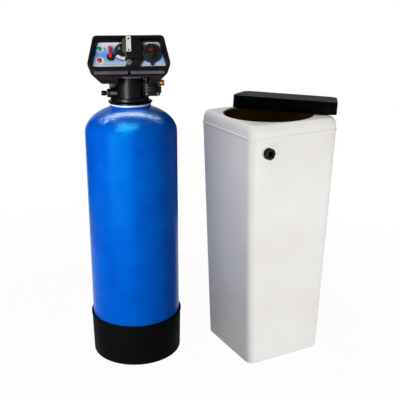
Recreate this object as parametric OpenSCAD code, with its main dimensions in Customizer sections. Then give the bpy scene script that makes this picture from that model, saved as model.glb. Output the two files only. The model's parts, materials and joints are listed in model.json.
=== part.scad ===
// Domestic water softener: a wound pressure tank with a mechanical control head,
// and a square brine tank beside it, with its lid laid half across the mouth.
// The origin is the centre of the pressure tank's base on the floor. The head faces -Y.

/* [Pressure tank] */
// Outer diameter of the wound vessel
tank_d = 205; // [195:1:230]
// Height of the rim of the vessel's neck hole above the floor
shoulder_z = 589; // [540:1:680]
// Height of the top dome
dome_h = 62; // [52:1:72]
// Depth of the bottom dome
bottom_h = 50; // [44:1:54]
// Gap between the bottom dome and the floor
base_gap = 7; // [6:0.5:12]
// Thickness of the wound shell
shell_wall = 3.5; // [2.5:0.5:4.5]
// Thickness of the moulded liner
liner_wall = 3; // [2:0.5:4]
// Diameter of the hole in the vessel's shoulder
neck_hole_d = 82; // [78:1:86]
// Diameter of the pale collar on the shoulder
collar_d = 91; // [89:1:95]
// Height of the pale collar
collar_h = 9; // [7:0.5:14]
// Depth of the collar's stem inside the vessel
collar_depth = 26; // [18:1:30]
// Diameter of the collar's bore
neck_bore_d = 63; // [61:0.5:66]
// Gap between pieces that are glued or pushed together
fit_gap = 0.2; // [0.1:0.05:0.3]

/* [Boot] */
// Height of the boot round the tank's base
boot_h = 101; // [80:1:120]
// Thickness of the boot's wall
boot_wall = 3; // [2:0.5:5]
// How much narrower the boot is at the floor than at its top, on each side
boot_taper = 1.7; // [0:0.1:2.5]
// Reach of the lip round the boot's rim
boot_lip = 1.3; // [0.5:0.1:2]
// Height of the lip round the boot's rim
boot_lip_h = 5; // [3:0.5:8]
// Thickness of the boot's floor
boot_floor = 4; // [3:0.5:5]
// Diameter of the ring that the bottom dome sits on
seat_d = 150; // [120:1:170]

/* [Distributor and media] */
// Outer diameter of the riser tube
riser_d = 26.7; // [25:0.1:28]
// Thickness of the riser tube's wall
riser_wall = 2.2; // [1.5:0.1:3]
// Outer diameter of the bottom basket
basket_d = 54; // [46:1:60]
// Height of the bottom basket
basket_h = 50; // [40:1:60]
// Thickness of the baskets' walls
basket_wall = 2.5; // [2:0.5:3.5]
// Height of the upper strainer below the valve
strainer_h = 34; // [26:1:44]
// Number of slots round each basket
slot_count = 14; // [8:1:18]
// Width of a basket slot
slot_w = 1.6; // [1:0.2:2.4]
// Level of the gravel in the tank
gravel_z = 96; // [85:1:120]
// Level of the resin in the tank
resin_z = 400; // [300:1:460]
// Gap between the media and the pieces around them
media_gap = 0.4; // [0.3:0.1:1]

/* [Valve body] */
// Diameter of the valve's flange
flange_d = 97; // [92:1:104]
// Thickness of the valve's flange
flange_h = 6; // [4:0.5:9]
// Diameter of the step above the flange
step_d = 82; // [74:1:88]
// Height of the step above the flange
step_h = 6; // [4:0.5:9]
// Diameter of the valve's barrel
barrel_d = 60; // [56:1:62]
// Height of the barrel, from the step to the head's plate
barrel_h = 45; // [43:1:56]
// Diameter of the barrel's upper part, inside the head
upper_d = 44; // [42:1:46]
// Height of the barrel's upper part
upper_h = 31; // [29:1:33]
// Diameter of the piston's bore
bore_d = 30; // [28:0.5:32]
// Length of the threaded stub in the tank's neck
stub_h = 32; // [26:1:40]
// Thickness of the stub's wall
stub_wall = 6; // [4:0.5:7]
// Height of the web between the riser's socket and the piston's bore
web_h = 4; // [3:0.5:5]
// Diameter of the passage through that web
passage_d = 16; // [12:1:20]

/* [Ports] */
// Distance from the valve's middle to each rear port
port_x = 27; // [25:0.5:30]
// Height of the rear ports above the valve's step
port_rise = 18; // [16:1:19]
// Outer diameter of a port's boss
boss_d = 33; // [31:0.5:36]
// Reach of the port bosses behind the valve's axis
boss_y = 56; // [50:1:64]
// Diameter of a port's bore
port_bore_d = 25; // [23:0.5:26]
// Outer diameter of a nipple's thread
nipple_d = 33.2; // [30:0.1:36]
// Reach of a nipple beyond its flange
nipple_l = 24; // [18:1:32]
// Depth of the relief behind a nipple's thread
thread_relief = 0.6; // [0.4:0.1:1]
// Diameter of a nipple's waterway
nipple_bore_d = 19; // [15:0.5:20]
// Diameter of a nipple's flange
nipple_flange_d = 40; // [39:0.5:44]
// Thickness of a nipple's flange
nipple_flange_h = 4; // [3:0.5:6]
// Length of a nipple's spigot inside its port
spigot_l = 14; // [10:1:18]
// Thickness of the plate that holds the nipples
retainer_t = 4; // [3:0.5:6]

/* [Injector and drain] */
// Reach of the injector from the valve's axis
injector_x = 68; // [64:1:76]
// Reach of the pad that the injector is screwed to
pad_x = 33; // [32:0.5:36]
// Height of the injector's underside above the valve's step
injector_rise = 3; // [2:0.5:5]
// Height of the injector
injector_h = 28; // [26:1:32]
// Depth of the injector from front to back
injector_w = 26; // [24:1:32]
// Depth of the injector's ribs
rib_out = 1.6; // [1:0.2:2.4]
// Diameter of the injector's bore
nozzle_d = 12; // [10:0.5:14]
// Thickness of the injector's front cover
cover_t = 4; // [3:0.5:6]
// Diameter of the brine valve's cap
valve_cap_d = 11; // [10:0.5:13]
// Height of the brine valve's cap
valve_cap_h = 13; // [12:0.5:14]
// Diameter of the brine valve's stem
stem_d = 3; // [2.5:0.1:3.5]
// Diameter of the brass fitting's tube bore
brine_bore_d = 6.6; // [6:0.1:8]
// Diameter across the corners of the brass hexagon
brass_hex_d = 14; // [13:0.5:15]
// Height of the drain's axis above the valve's step
drain_rise = 8.5; // [8:0.5:12]
// Diameter of the drain fitting's hose end
drain_end_d = 11; // [9:0.5:12]
// Diameter of the drain fitting's waterway
drain_bore_d = 6; // [4:0.5:7]
// Reach of the drain boss to the left of the valve's axis
drain_x = 43; // [36:0.5:46]

/* [Piston] */
// Length of the piston
piston_h = 34; // [30:1:35]
// Gap between the piston and its seals, on each side
piston_gap = 0.3; // [0.25:0.05:0.5]
// Thickness of one seal in the barrel
seal_h = 3; // [2:0.25:4]
// Height of one spacer in the barrel
spacer_h = 11; // [9:0.5:11.5]
// Diameter of the piston's rod
rod_d = 8; // [6:0.5:9]
// Travel of the piston, twice the crank's radius
stroke = 24; // [16:1:24]
// Thickness of the plug at the barrel's top
plug_h = 6; // [4:0.5:7]

/* [Control head] */
// Lean of the head's face from the vertical, in degrees
lean = 25; // [15:1:30]
// How far the face's middle stands in front of the valve's axis
face_y = 56.4; // [54:0.2:64]
// Height of the face's middle above the head's plate
face_rise = 54; // [52:0.5:60]
// Half width of the head at its top
top_w = 73.5; // [68:0.5:80]
// Half width of the head where it is widest
mid_w = 86.5; // [84:0.5:92]
// Half width of the head at its lower lip
lip_w = 80; // [78:0.5:83]
// Height of the head's top above the face's middle
top_v = 40; // [38:0.5:44]
// Depth of the widest level below the face's middle
mid_v = 21; // [18:0.5:24]
// Depth of the lower lip below the face's middle
lip_v = 37; // [35:0.5:40]
// Depth of the bezel from front to back
bezel_t = 12; // [10:0.5:14]
// Width of the bezel's rim
rim_w = 3.5; // [2.5:0.25:5]
// Width of the bezel's rim along its lower lip
lip_rim_w = 10; // [8:0.5:10.5]
// Depth of the recess in the bezel
recess_t = 16; // [14:0.5:18]
// Draft of the recess's side walls
side_draft = 6; // [5:0.5:8]
// Draft of the recess's top wall
top_draft = 6.5; // [5:0.5:10]
// Thickness of the housing's walls
head_wall = 2.5; // [2:0.25:3.5]
// How far the housing's back lies behind the valve's axis
back_y = 48; // [46:0.5:60]
// Thickness of the face plate
face_t = 2; // [1.5:0.25:3]
// Thickness of the plate that carries the head
plate_t = 6; // [4:0.5:8]

/* [Dials] */
// Place of the time dial to the right of the face's middle
time_x = 47.7; // [46:0.1:49]
// Place of the time dial above the face's middle
time_v = 5.3; // [3:0.1:7]
// Diameter of the time dial
time_d = 42; // [36:0.5:43]
// Place of the program wheel to the left of the face's middle
program_x = 11.5; // [10:0.1:13]
// Place of the program wheel above the face's middle
program_v = 9; // [7:0.1:9.5]
// Diameter of the program wheel
program_d = 38; // [32:0.5:39]
// Thickness of the dials
dial_t = 4.5; // [3.5:0.25:5]
// Diameter of the dials' shafts
shaft_d = 8; // [6:0.5:8]
// Gap round a shaft in its hole
shaft_gap = 0.3; // [0.25:0.05:0.5]
// Gap between pieces that move past each other
run_gap = 0.7; // [0.5:0.1:1]
// Place of the red selector to the left of the face's middle
selector_x = 38; // [37.5:0.1:41]
// Place of the red selector below the face's middle
selector_v = 1.5; // [0:0.1:4]
// Diameter of the selector's black boss
selector_d = 17; // [14:0.5:18]
// Length of the selector's red pointer
pointer_l = 23; // [18:0.5:24]
// Depth of the regeneration knob below the face's middle
knob_v = 17; // [16.5:0.1:18]
// Diameter of the regeneration knob
knob_d = 12; // [11:0.5:13]
// Width of the index strip on the centre cover
strip_w = 10; // [8:0.5:11]
// Place of the lamps to the left of the face's middle
lamp_x = 61.5; // [58:0.5:62]
// Height of the green lamp above the face's middle
green_v = 16; // [13:0.5:18]
// Depth of the red lamp below the face's middle
red_v = 8.5; // [6:0.5:12]
// Diameter of the lamps
lamp_d = 10.5; // [9:0.5:11]

/* [Gears] */
// Tooth size of the gears, pitch diameter over teeth
gear_m = 1; // [1:0.05:1.05]
// Teeth of the clock's dial gear
time_teeth = 40; // [36:1:40]
// Teeth of the piston's drive gear
drive_teeth = 32; // [31:1:33]
// Teeth of the motors' pinions
pinion_teeth = 12; // [11:1:12]
// Thickness of the gears
gear_t = 5; // [4:0.5:6]
// Extra distance between meshed gears
gear_slack = 0.3; // [0.2:0.05:0.4]
// Diameter of the motors
motor_d = 30; // [26:1:31]
// Length of the motors
motor_t = 16; // [12:1:17]

/* [Brine tank] */
// Distance between the two tanks' middles
tank_gap = 309; // [290:1:340]
// Turn of the brine tank seen from above, in degrees
brine_turn = 22.6; // [0:0.1:45]
// Width of the brine tank at its rim
brine_top_w = 228; // [222:1:250]
// Width of the brine tank at its floor
brine_floor_w = 198; // [190:1:215]
// Height of the brine tank's rim line
rim_z = 540; // [480:1:620]
// Height of the deck above the rim line
deck_rise = 28; // [24:1:34]
// Radius of the brine tank's upright corners
corner_r = 20; // [16:1:26]
// Diameter of the round mouth
mouth_d = 204; // [190:1:208]
// Thickness of the brine tank's walls
brine_wall = 4; // [3:0.5:5]
// Depth of the round edge under the deck
shoulder_h = 18; // [12:1:20]
// Place of the overflow fitting along its face, from the face's middle
overflow_x = -71; // [-76:1:-60]
// Depth of the overflow fitting below the rim line
overflow_drop = 33; // [28:1:60]
// Diameter of the overflow fitting's head
overflow_d = 26; // [22:0.5:30]
// Diameter of the overflow fitting's bore
overflow_bore_d = 13; // [10:0.5:15]

/* [Brine tank fittings] */
// Outer diameter of the brine well
well_d = 80; // [70:1:84]
// Height of the brine well
well_h = 470; // [420:1:500]
// Thickness of the brine well's wall
well_wall = 2.5; // [2:0.5:3]
// Place of the brine well's middle from the tank's middle, on both sides
well_x = 46; // [44:1:48]
// Height of the salt grid's top above the floor
grid_z = 100; // [80:1:120]
// Thickness of the salt grid
grid_t = 5; // [4:0.5:8]
// Diameter of the salt grid's holes
grid_hole_d = 8; // [6:0.5:10]
// Spacing of the salt grid's holes
grid_pitch = 19; // [17:1:24]
// Diameter of the float
float_d = 40; // [34:1:42]
// Height of the float
float_h = 52; // [40:1:60]
// Height of the float's underside above the floor
float_z = 210; // [150:1:260]
// Diameter of the float's rod
float_rod_d = 5; // [4:0.5:6]
// Travel of the float
float_travel = 12; // [8:1:16]
// Diameter of the brine pick-up tube
pickup_d = 10; // [8:0.5:11]

/* [Lid] */
// Width of the square lid
lid_w = 236; // [228:1:252]
// Height of the lid
lid_h = 31; // [26:0.5:36]
// Thickness of the lid's walls
lid_wall = 3; // [2.5:0.25:4]
// Radius of the lid's upright corners
lid_corner_r = 30; // [22:1:36]
// Radius of the lid's round top edge
lid_edge_r = 5; // [3:0.5:7]
// Depth of the stiffening ribs under the lid
lid_rib_h = 15; // [6:0.5:18]

/* [Hidden] */

// Overlap of a cut past the face that it opens
cut = 1;
// Faces round a large and a small turned piece
$fn = 64;
small_fn = 32;
// Straight steps along a dome, and along a rounded corner
dome_steps = 10;
corner_steps = 5;

// Levels and radii of the pressure tank
tank_r = tank_d / 2;
hole_r = neck_hole_d / 2;
bottom_z = base_gap + bottom_h;
top_z = shoulder_z - dome_h * sqrt(1 - pow(hole_r / tank_r, 2));
neck_z = shoulder_z + collar_h;
liner_in = shell_wall + fit_gap;
inside_in = liner_in + liner_wall;
boot_r = tank_r + fit_gap + boot_wall;
foot_r = boot_r - boot_taper;
seat_r = seat_d / 2;

// Levels of the distributor
riser_r = riser_d / 2;
basket_r = basket_d / 2;
basket_foot_r = 8;
basket_cone_h = 11;
riser_socket = 14;
basket_z = base_gap + inside_in + media_gap;
basket_top_z = basket_z + basket_h;

// Levels and radii of the valve
step_z = neck_z + flange_h;
barrel_z = step_z + step_h;
plate_z = barrel_z + barrel_h;
upper_z = plate_z + upper_h;
plug_z = upper_z + plug_h;
bore_z = barrel_z + web_h;
stub_r = neck_bore_d / 2 - fit_gap;
stub_in_r = stub_r - stub_wall;
strainer_r = stub_in_r - fit_gap;
strainer_lap = 8;
port_z = barrel_z + port_rise;
drain_z = barrel_z + drain_rise;
injector_z = barrel_z + injector_rise;
injector_top = injector_z + injector_h;
injector_mid = injector_z + injector_h / 2;
boss_front = injector_w / 2 + 2 * rib_out;
o_ring_d = 4;
o_ring_r = (neck_bore_d + collar_d) / 4;
o_ring_groove = o_ring_d / 2 + fit_gap;

// Screws that hold the retainer and the injector's cover
screw_d = 4;
screw_head_d = 7.5;
screw_head_h = 3;
screw_l = 12;
retainer_screw_z = 9;
screw_boss_d = screw_head_d + 2;
cover_screw_x = 12;
cover_screw_z = injector_z + screw_head_d / 2 + 1;

// Brine valve and brass fitting on the injector
brine_x = 37;
brine_y = -5;
cap_wall = 1.5;
stem_lift = 4;
stem_below = 8;
stem_above = 10;
spring_wire_d = 1;
spring_turns = 4;
elbow_x = 54;
elbow_l = 7.5;
elbow_w = 14;
brass_drop = 1.5;
brass_z = injector_top - brass_drop;
low_top = brass_z - brass_hex_d / 2 - fit_gap;
brass_hex_l = 6;
brass_nut_l = 8;
brass_thread_d = 9.6;
brass_thread_l = 5;
gusset_t = 8;

// Injector's cover, ribs and nozzle
cover_w = 34;
cover_x = pad_x + cover_w / 2;
rib_count = 3;
rib_pitch = 6;
rib_t = 2.4;
first_rib_z = cover_screw_z + screw_head_d / 2 + fit_gap;
nozzle_end_x = injector_x - 8;

// Drain fitting
drain_boss_d = 22;
drain_hex_d = 19;
drain_hex_l = 7;
drain_neck_l = 2.5;
drain_end_l = 10;
drain_spigot_d = 10;
drain_spigot_l = 8;

// Piston and crank
stack_count = 4;
stack_top_z = bore_z + stack_count * (seal_h + spacer_h) + seal_h + fit_gap;
rod_seat = 10;
piston_r = bore_d / 2 - 3;
piston_z = bore_z + stroke + run_gap;
piston_top_z = piston_z + piston_h;
yoke_h = 11;
yoke_w = stroke + 8;
yoke_t = 3;
yoke_gap = 1.5;
yoke_y = rod_d / 2 + run_gap;
crank_r = stroke / 2;
crank_d = 4;
drive_z = plug_z + yoke_gap + yoke_t + yoke_h / 2 + crank_r;
drive_y = 21;
drive_r = drive_teeth * gear_m / 2;
pinion_r = pinion_teeth * gear_m / 2;
drive_reach = drive_r + pinion_r + gear_slack;
bracket_gap = 3;
bracket_t = 3;
axle_d = 6;
bracket_w = 12;
motor_y = drive_y + bracket_gap + bracket_t;

// Outline of a gear's tooth: half widths in pitches, heights in tooth sizes
root_half = 0.31;
tip_half = 0.12;
root_in = 1.2;
tip_out = 0.9;
tooth_pts = [[-root_half, -root_in], [-tip_half, tip_out], [tip_half, tip_out], [root_half, -root_in]];

// Head: places on its leaning face are [right, up, out] from the face's middle
face_z = plate_z + face_rise;
top_fall = 6;
top_slope = tan(lean - top_fall);
chin_slope = 0.55;
chin_n = 32;
chin_w = 60;
band_w = lip_w - 2;
lip_draft = 0.5;
head_corner_r = 9;
back_h = 81;
back_in = [8, 12, 4];
back_mid_z = plate_z + 35;
apron_z = plate_z - 9;
floor_step = plate_z + plate_t;
channel_w = barrel_d / 2 + 1.5;
channel_right = brine_x + valve_cap_d / 2 + 1.5;
channel_front = barrel_d / 2 + 1;
tab_w = 23.5;
tab_y = 37;
plate_back_y = 36;
notch_gap = 0.5;
latch_w = 4;
pocket_n = 3;

// Levels out of the face
face_n = -recess_t;
dial_n = face_n + run_gap;
dial_top_n = dial_n + dial_t;
roof_n = dial_top_n + run_gap;
gear_n = face_n - face_t - 9;
timer_n = gear_n - 5;
timer_t = 2;
time_r = time_teeth * gear_m / 2;
clock_angle = 90;
clock_reach = time_r + pinion_r + gear_slack;
clock_x = time_x + clock_reach * cos(clock_angle);
clock_v = time_v + clock_reach * sin(clock_angle);
timer_left = 50;
timer_right = 66;
timer_low_v = 27;
timer_top_v = 44;
timer_corner_r = 6;
post_d = 6;
posts = [[-45, 24], [15, 25], [-45, -22], [61, -22]];
pinion_shaft_d = 4;
motor_seat = 4;
cover_left = 8;
flank_left = 14;
flank_low_v = 3;
cover_right = 31;
cover_low_v = 29;
cover_top_v = 36;
cover_low_n = -8;
cover_step_v = 9.5;
plateau_w = 5.5;
cover_side_n = -7;
notch_count = 24;
dial_notch_d = 2.2;
hub_d = 16;
hub_t = 3.5;
scale_in_r = 12.5;
scale_out_r = 18.5;
scale_from = 215;
scale_to = 285;
scale_t = 1.5;
strip_t = 1.2;
strip_low_v = 5;
strip_screw_d = 4;
strip_screw_l = 5;
strip_screw_v = [8, 32.5];
boss_t = 2.5;
lever_t = 5.5;
lever_shaft_d = 5;
knob_t = 6;
knob_shaft_d = 5;
knob_slot_w = 1.5;
pointer_w = 7;
pointer_turn = 8;
lamp_t = 3;

// Brine tank
deck_z = rim_z + deck_rise;
bead = 1.2;
foot_round = 6;
shoulder_w = 10;
shoulder_steps = 4;
wall_lean = atan((brine_top_w - brine_floor_w) / 2 / rim_z);
overflow_z = rim_z - overflow_drop;
overflow_t = 8;
overflow_stem_d = 20;
overflow_stem_l = 14;
well_r = well_d / 2;
well_top_z = brine_wall + well_h;
cap_t = 3;
cap_skirt = 8;
grid_gap = 1;
grid_leg_d = 16;
valve_bar_w = 16;
valve_bar_t = 8;
float_stop_d = 10;
float_stop_t = 4;
pickup_x = 29;
pickup_foot = 6;
well_slot_h = 12;
float_clear = 2;
valve_bar_z = well_top_z - cap_skirt - valve_bar_t - 2 * float_stop_t - float_travel - float_clear;
grid_rows = 4;

// Lid: it lies on the deck's right and left corners and, with its ribs, on the rear one
lid_dx = 62;
lid_dy = 96;
lid_turn = -16;
lid_tilt = 7.3;
lid_roll = 2.4;
lid_gap = 0.3;
lid_lift = 0.2;
lid_rib_u = 25;
lid_rib_v = 33;
lid_rib_t = 2.5;
lid_edge_steps = 3;
lid_z = deck_z + lid_gap + lid_lift - lid_w / 2 * (sin(lid_tilt) - sin(lid_roll));

// A vector of length one
function unit(v) = v / norm(v);

// Points of a rounded corner at b, between its neighbours a and c
function corner(a, b, c, r) =
    let (u = unit(a - b), w = unit(c - b), half = acos(u * w) / 2,
         mid = b + unit(u + w) * r / sin(half),
         p = b + u * r / tan(half) - mid,
         q = b + w * r / tan(half) - mid,
         start = atan2(p[1], p[0]),
         turn = atan2(q[1], q[0]) - start,
         sweep = turn > 180 ? turn - 360 : turn < -180 ? turn + 360 : turn)
    [for (i = [0:corner_steps])
        mid + r * [cos(start + sweep * i / corner_steps), sin(start + sweep * i / corner_steps)]];

// Outline of a polygon whose corners are rounded
function rounded(pts, r) = let (m = len(pts))
    [for (i = [0:m - 1]) each corner(pts[(i + m - 1) % m], pts[i], pts[(i + 1) % m], r)];

// Arc of a dome with radius r and height h, its middle at height z
function dome_arc(r, h, z, from, to) =
    [for (i = [0:dome_steps]) let (a = from + (to - from) * i / dome_steps)
        [r * cos(a), z + h * sin(a)]];

// Closed solid through rings of points, the last ring nearest to the viewer
module loft(rings) {
    m = len(rings[0]);
    last = (len(rings) - 1) * m;
    polyhedron(
        points = [for (ring = rings) each ring],
        faces = concat(
            [[for (j = [0:m - 1]) j]],
            [[for (j = [m - 1:-1:0]) last + j]],
            [for (i = [0:len(rings) - 2], j = [0:m - 1])
                [i * m + j, (i + 1) * m + j, (i + 1) * m + (j + 1) % m]],
            [for (i = [0:len(rings) - 2], j = [0:m - 1])
                [i * m + j, (i + 1) * m + (j + 1) % m, i * m + (j + 1) % m]]));
}

// Skin of the vessel, set in from its outer surface
module vessel_skin(inset, wall) {
    outer = tank_r - inset;
    inner = outer - wall;
    rotate_extrude() polygon(concat(
        dome_arc(outer, bottom_h - inset, bottom_z, -90, 0),
        dome_arc(outer, dome_h - inset, top_z, 0, acos(hole_r / outer)),
        dome_arc(inner, dome_h - inset - wall, top_z, acos(hole_r / inner), 0),
        dome_arc(inner, bottom_h - inset - wall, bottom_z, 0, -90)));
}

// Height of the bottom dome's outer surface at a radius
function dome_under(r) = bottom_z - bottom_h * sqrt(1 - pow(r / tank_r, 2));

module tank_shell() color("royalblue") vessel_skin(0, shell_wall);

module tank_liner() color("ghostwhite") vessel_skin(liner_in, liner_wall);

module neck_collar() color("white") rotate_extrude() polygon([
    [neck_bore_d / 2, shoulder_z - collar_depth],
    [hole_r - fit_gap, shoulder_z - collar_depth],
    [hole_r - fit_gap, shoulder_z],
    [collar_d / 2, shoulder_z],
    [collar_d / 2, neck_z],
    [o_ring_r + o_ring_groove, neck_z],
    [o_ring_r + o_ring_groove, neck_z - o_ring_d],
    [o_ring_r - o_ring_groove, neck_z - o_ring_d],
    [o_ring_r - o_ring_groove, neck_z],
    [neck_bore_d / 2, neck_z]]);

module tank_boot() color("#18181a") {
    rotate_extrude() polygon([
        [0, 0],
        [foot_r, 0],
        [boot_r, boot_h - boot_lip_h - boot_lip],
        [boot_r + boot_lip, boot_h - boot_lip_h],
        [boot_r + boot_lip, boot_h],
        [tank_r + fit_gap, boot_h],
        [tank_r + fit_gap, bottom_z],
        [foot_r - boot_wall, boot_floor],
        [seat_r, boot_floor],
        [seat_r, dome_under(seat_r) - fit_gap],
        [seat_r - boot_wall, dome_under(seat_r - boot_wall) - fit_gap],
        [seat_r - boot_wall, boot_floor],
        [0, boot_floor]]);
}

module riser_tube() color("gainsboro") translate([0, 0, basket_top_z - riser_socket]) difference() {
    length = barrel_z - fit_gap - basket_top_z + riser_socket;
    cylinder(r = riser_r, h = length);
    translate([0, 0, -cut]) cylinder(r = riser_r - riser_wall, h = length + 2 * cut);
}

// Slots round a basket's wall, between two heights
module basket_slots(r, low, high) {
    for (i = [0:slot_count - 1]) rotate(i * 360 / slot_count)
        translate([r - 2 * basket_wall, -slot_w / 2, low]) cube([3 * basket_wall, slot_w, high - low]);
}

module lower_basket() color("lightgrey") translate([0, 0, basket_z]) difference() {
    rotate_extrude() polygon([
        [0, 0],
        [basket_foot_r, 0],
        [basket_r, basket_cone_h],
        [basket_r, basket_h - riser_socket],
        [riser_r + basket_wall, basket_h - riser_socket / 2],
        [riser_r + basket_wall, basket_h],
        [riser_r + fit_gap, basket_h],
        [riser_r + fit_gap, basket_h - riser_socket],
        [riser_r - riser_wall, basket_h - riser_socket],
        [riser_r - riser_wall, basket_h - riser_socket - basket_wall],
        [basket_r - basket_wall, basket_h - riser_socket - basket_wall],
        [basket_r - basket_wall, basket_cone_h + basket_wall],
        [0, basket_wall]]);
    basket_slots(basket_r, basket_cone_h + 2 * basket_wall, basket_h - riser_socket - 2 * basket_wall);
}

module upper_strainer() color("lightgrey") {
    low = neck_z - stub_h + strainer_lap - strainer_h;
    translate([0, 0, low]) difference() {
        cylinder(r = strainer_r, h = strainer_h);
        translate([0, 0, basket_wall]) cylinder(r = strainer_r - basket_wall, h = strainer_h);
        translate([0, 0, -cut]) cylinder(r = riser_r + fit_gap, h = strainer_h);
        basket_slots(strainer_r, 2 * basket_wall, strainer_h - strainer_lap - basket_wall);
    }
}

module gravel_bed() color("tan") {
    inner = tank_r - inside_in - media_gap;
    depth = bottom_h - inside_in - media_gap;
    hole = basket_r + media_gap;
    rotate_extrude() polygon(concat(
        dome_arc(inner, depth, bottom_z, -acos(hole / inner), 0),
        [[inner, gravel_z],
         [riser_r + media_gap, gravel_z],
         [riser_r + media_gap, basket_top_z + media_gap],
         [hole, basket_top_z + media_gap]]));
}

module resin_bed() color("goldenrod") translate([0, 0, gravel_z + media_gap]) difference() {
    cylinder(r = tank_r - inside_in - media_gap, h = resin_z - gravel_z);
    translate([0, 0, -cut]) cylinder(r = riser_r + media_gap, h = resin_z - gravel_z + 2 * cut);
}

// A cylinder along X, from one place to another
module bar_x(x0, x1, d) translate([x0, 0, 0]) rotate([0, 90, 0]) cylinder(d = d, h = x1 - x0);

// A cylinder along Y, from one place to another
module bar_y(y0, y1, d) translate([0, y0, 0]) rotate([-90, 0, 0]) cylinder(d = d, h = y1 - y0);

module valve_body() color("#1c1c1e") difference() {
    union() {
        rotate_extrude() polygon([
            [stub_in_r, neck_z - stub_h],
            [stub_r, neck_z - stub_h],
            [stub_r, neck_z],
            [flange_d / 2 - flange_h / 4, neck_z],
            [flange_d / 2, neck_z + flange_h / 4],
            [flange_d / 2, neck_z + flange_h / 2],
            [step_d / 2 + flange_h / 4, step_z],
            [step_d / 2, step_z],
            [step_d / 2, barrel_z],
            [0, barrel_z],
            [0, neck_z],
            [stub_in_r, neck_z]]);
        translate([0, 0, step_z]) cylinder(d = barrel_d, h = plate_z - step_z);
        translate([0, 0, plate_z]) cylinder(d = upper_d, h = upper_h);
        for (side = [-1, 1]) translate([side * port_x, 0, port_z]) bar_y(boss_front, boss_y, boss_d);
        translate([0, 0, drain_z]) bar_x(-drain_x, 0, drain_boss_d);
        rotate([90, 0, 0]) translate([0, 0, -gusset_t / 2]) linear_extrude(gusset_t) polygon([
            [step_d / 2 - gusset_t, step_z],
            [step_d / 2 - gusset_t, barrel_z + gusset_t],
            [0, port_z],
            [-barrel_d / 2 + 1, port_z],
            [-drain_x, drain_z + drain_boss_d / 4],
            [-drain_x, step_z]]);
        translate([0, -injector_w / 2, injector_z]) cube([pad_x, injector_w, injector_h]);
        for (up = [-1, 1]) translate([0, 0, port_z + up * retainer_screw_z])
            bar_y(0, boss_y + nipple_flange_h, screw_boss_d);
    }
    translate([0, 0, bore_z]) cylinder(d = bore_d, h = upper_z - bore_z + cut);
    translate([0, 0, neck_z - cut]) cylinder(r = riser_r + fit_gap, h = barrel_z - neck_z + cut);
    translate([0, 0, barrel_z - cut]) cylinder(d = passage_d, h = web_h + 2 * cut);
    for (side = [-1, 1]) translate([side * port_x, 0, port_z])
        bar_y(boss_y - spigot_l - 2 * web_h, boss_y + cut, port_bore_d);
    translate([0, 0, drain_z]) bar_x(-drain_x - cut, 0, drain_spigot_d + 2 * fit_gap);
    translate([0, 0, injector_mid]) bar_x(0, pad_x + cut, nozzle_d);
    for (up = [-1, 1]) translate([0, 0, port_z + up * retainer_screw_z])
        bar_y(boss_y - screw_l, boss_y + nipple_flange_h + cut, screw_d + 2 * fit_gap);
}

module neck_o_ring() color("#303030") translate([0, 0, neck_z - o_ring_d / 2])
    rotate_extrude() translate([o_ring_r, 0]) circle(d = o_ring_d - fit_gap, $fn = small_fn);

// One seal or spacer of the barrel's stack, with a given bore
module stack_ring(z, h, bore) translate([0, 0, z]) difference() {
    cylinder(d = bore_d - 2 * fit_gap, h = h);
    translate([0, 0, -cut]) cylinder(r = bore, h = h + 2 * cut);
}

module barrel_seals() color("#3a3a3a") for (i = [0:stack_count])
    stack_ring(bore_z + i * (seal_h + spacer_h), seal_h, piston_r + piston_gap);

module barrel_spacers() color("silver") for (i = [0:stack_count - 1]) difference() {
    low = bore_z + seal_h + i * (seal_h + spacer_h);
    stack_ring(low, spacer_h, piston_r + 3 * piston_gap);
    for (a = [0:60:300]) rotate(a) translate([piston_r, -spacer_h / 4, low + spacer_h / 4])
        cube([bore_d, spacer_h / 2, spacer_h / 2]);
}

module end_plug() color("#26262a") difference() {
    union() {
        translate([0, 0, upper_z]) cylinder(d = upper_d, h = plug_h);
        translate([0, 0, stack_top_z]) cylinder(d = bore_d - 2 * fit_gap, h = upper_z - stack_top_z);
    }
    translate([0, 0, stack_top_z - cut]) cylinder(r = piston_r + 3 * piston_gap, h = upper_z - stack_top_z);
    translate([0, 0, stack_top_z]) cylinder(d = rod_d + 2 * shaft_gap, h = plug_z);
}

module piston() color("gainsboro") difference() {
    translate([0, 0, piston_z]) rotate_extrude() polygon([
        [0, 0],
        [piston_r, 0],
        [piston_r, piston_h * 0.3],
        [piston_r * 0.65, piston_h * 0.4],
        [piston_r * 0.65, piston_h * 0.6],
        [piston_r, piston_h * 0.7],
        [piston_r, piston_h],
        [0, piston_h]]);
    translate([0, 0, piston_top_z - rod_seat]) cylinder(d = rod_d + 2 * fit_gap, h = rod_seat + cut);
}

module piston_rod() color("lightgrey") {
    rod_z = piston_top_z - rod_seat;
    low = drive_z + crank_r - yoke_h / 2;
    translate([0, 0, rod_z]) cylinder(d = rod_d, h = low - rod_z);
    difference() {
        union() {
            translate([-rod_d / 2, -rod_d / 2, low - yoke_t])
                cube([rod_d, yoke_y + yoke_t + rod_d / 2, yoke_t]);
            translate([-yoke_w / 2, yoke_y, low - yoke_t]) cube([yoke_w, yoke_t, yoke_h + yoke_t]);
        }
        translate([0, 0, drive_z + crank_r]) hull() for (side = [-1, 1])
            translate([side * crank_r, 0, 0])
                bar_y(yoke_y - cut, yoke_y + yoke_t + cut, crank_d + 2 * shaft_gap);
    }
}

// Threaded nipple for a rear port
module nipple(side) translate([side * port_x, boss_y, port_z]) difference() {
    union() {
        bar_y(-spigot_l, nipple_flange_h, port_bore_d - 2 * fit_gap);
        bar_y(0, nipple_flange_h, nipple_flange_d);
        bar_y(nipple_flange_h, nipple_flange_h + nipple_l, nipple_d - 2 * thread_relief);
        bar_y(nipple_flange_h + retainer_t, nipple_flange_h + nipple_l, nipple_d);
    }
    bar_y(-spigot_l - cut, nipple_flange_h + nipple_l + cut, nipple_bore_d);
}

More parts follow.
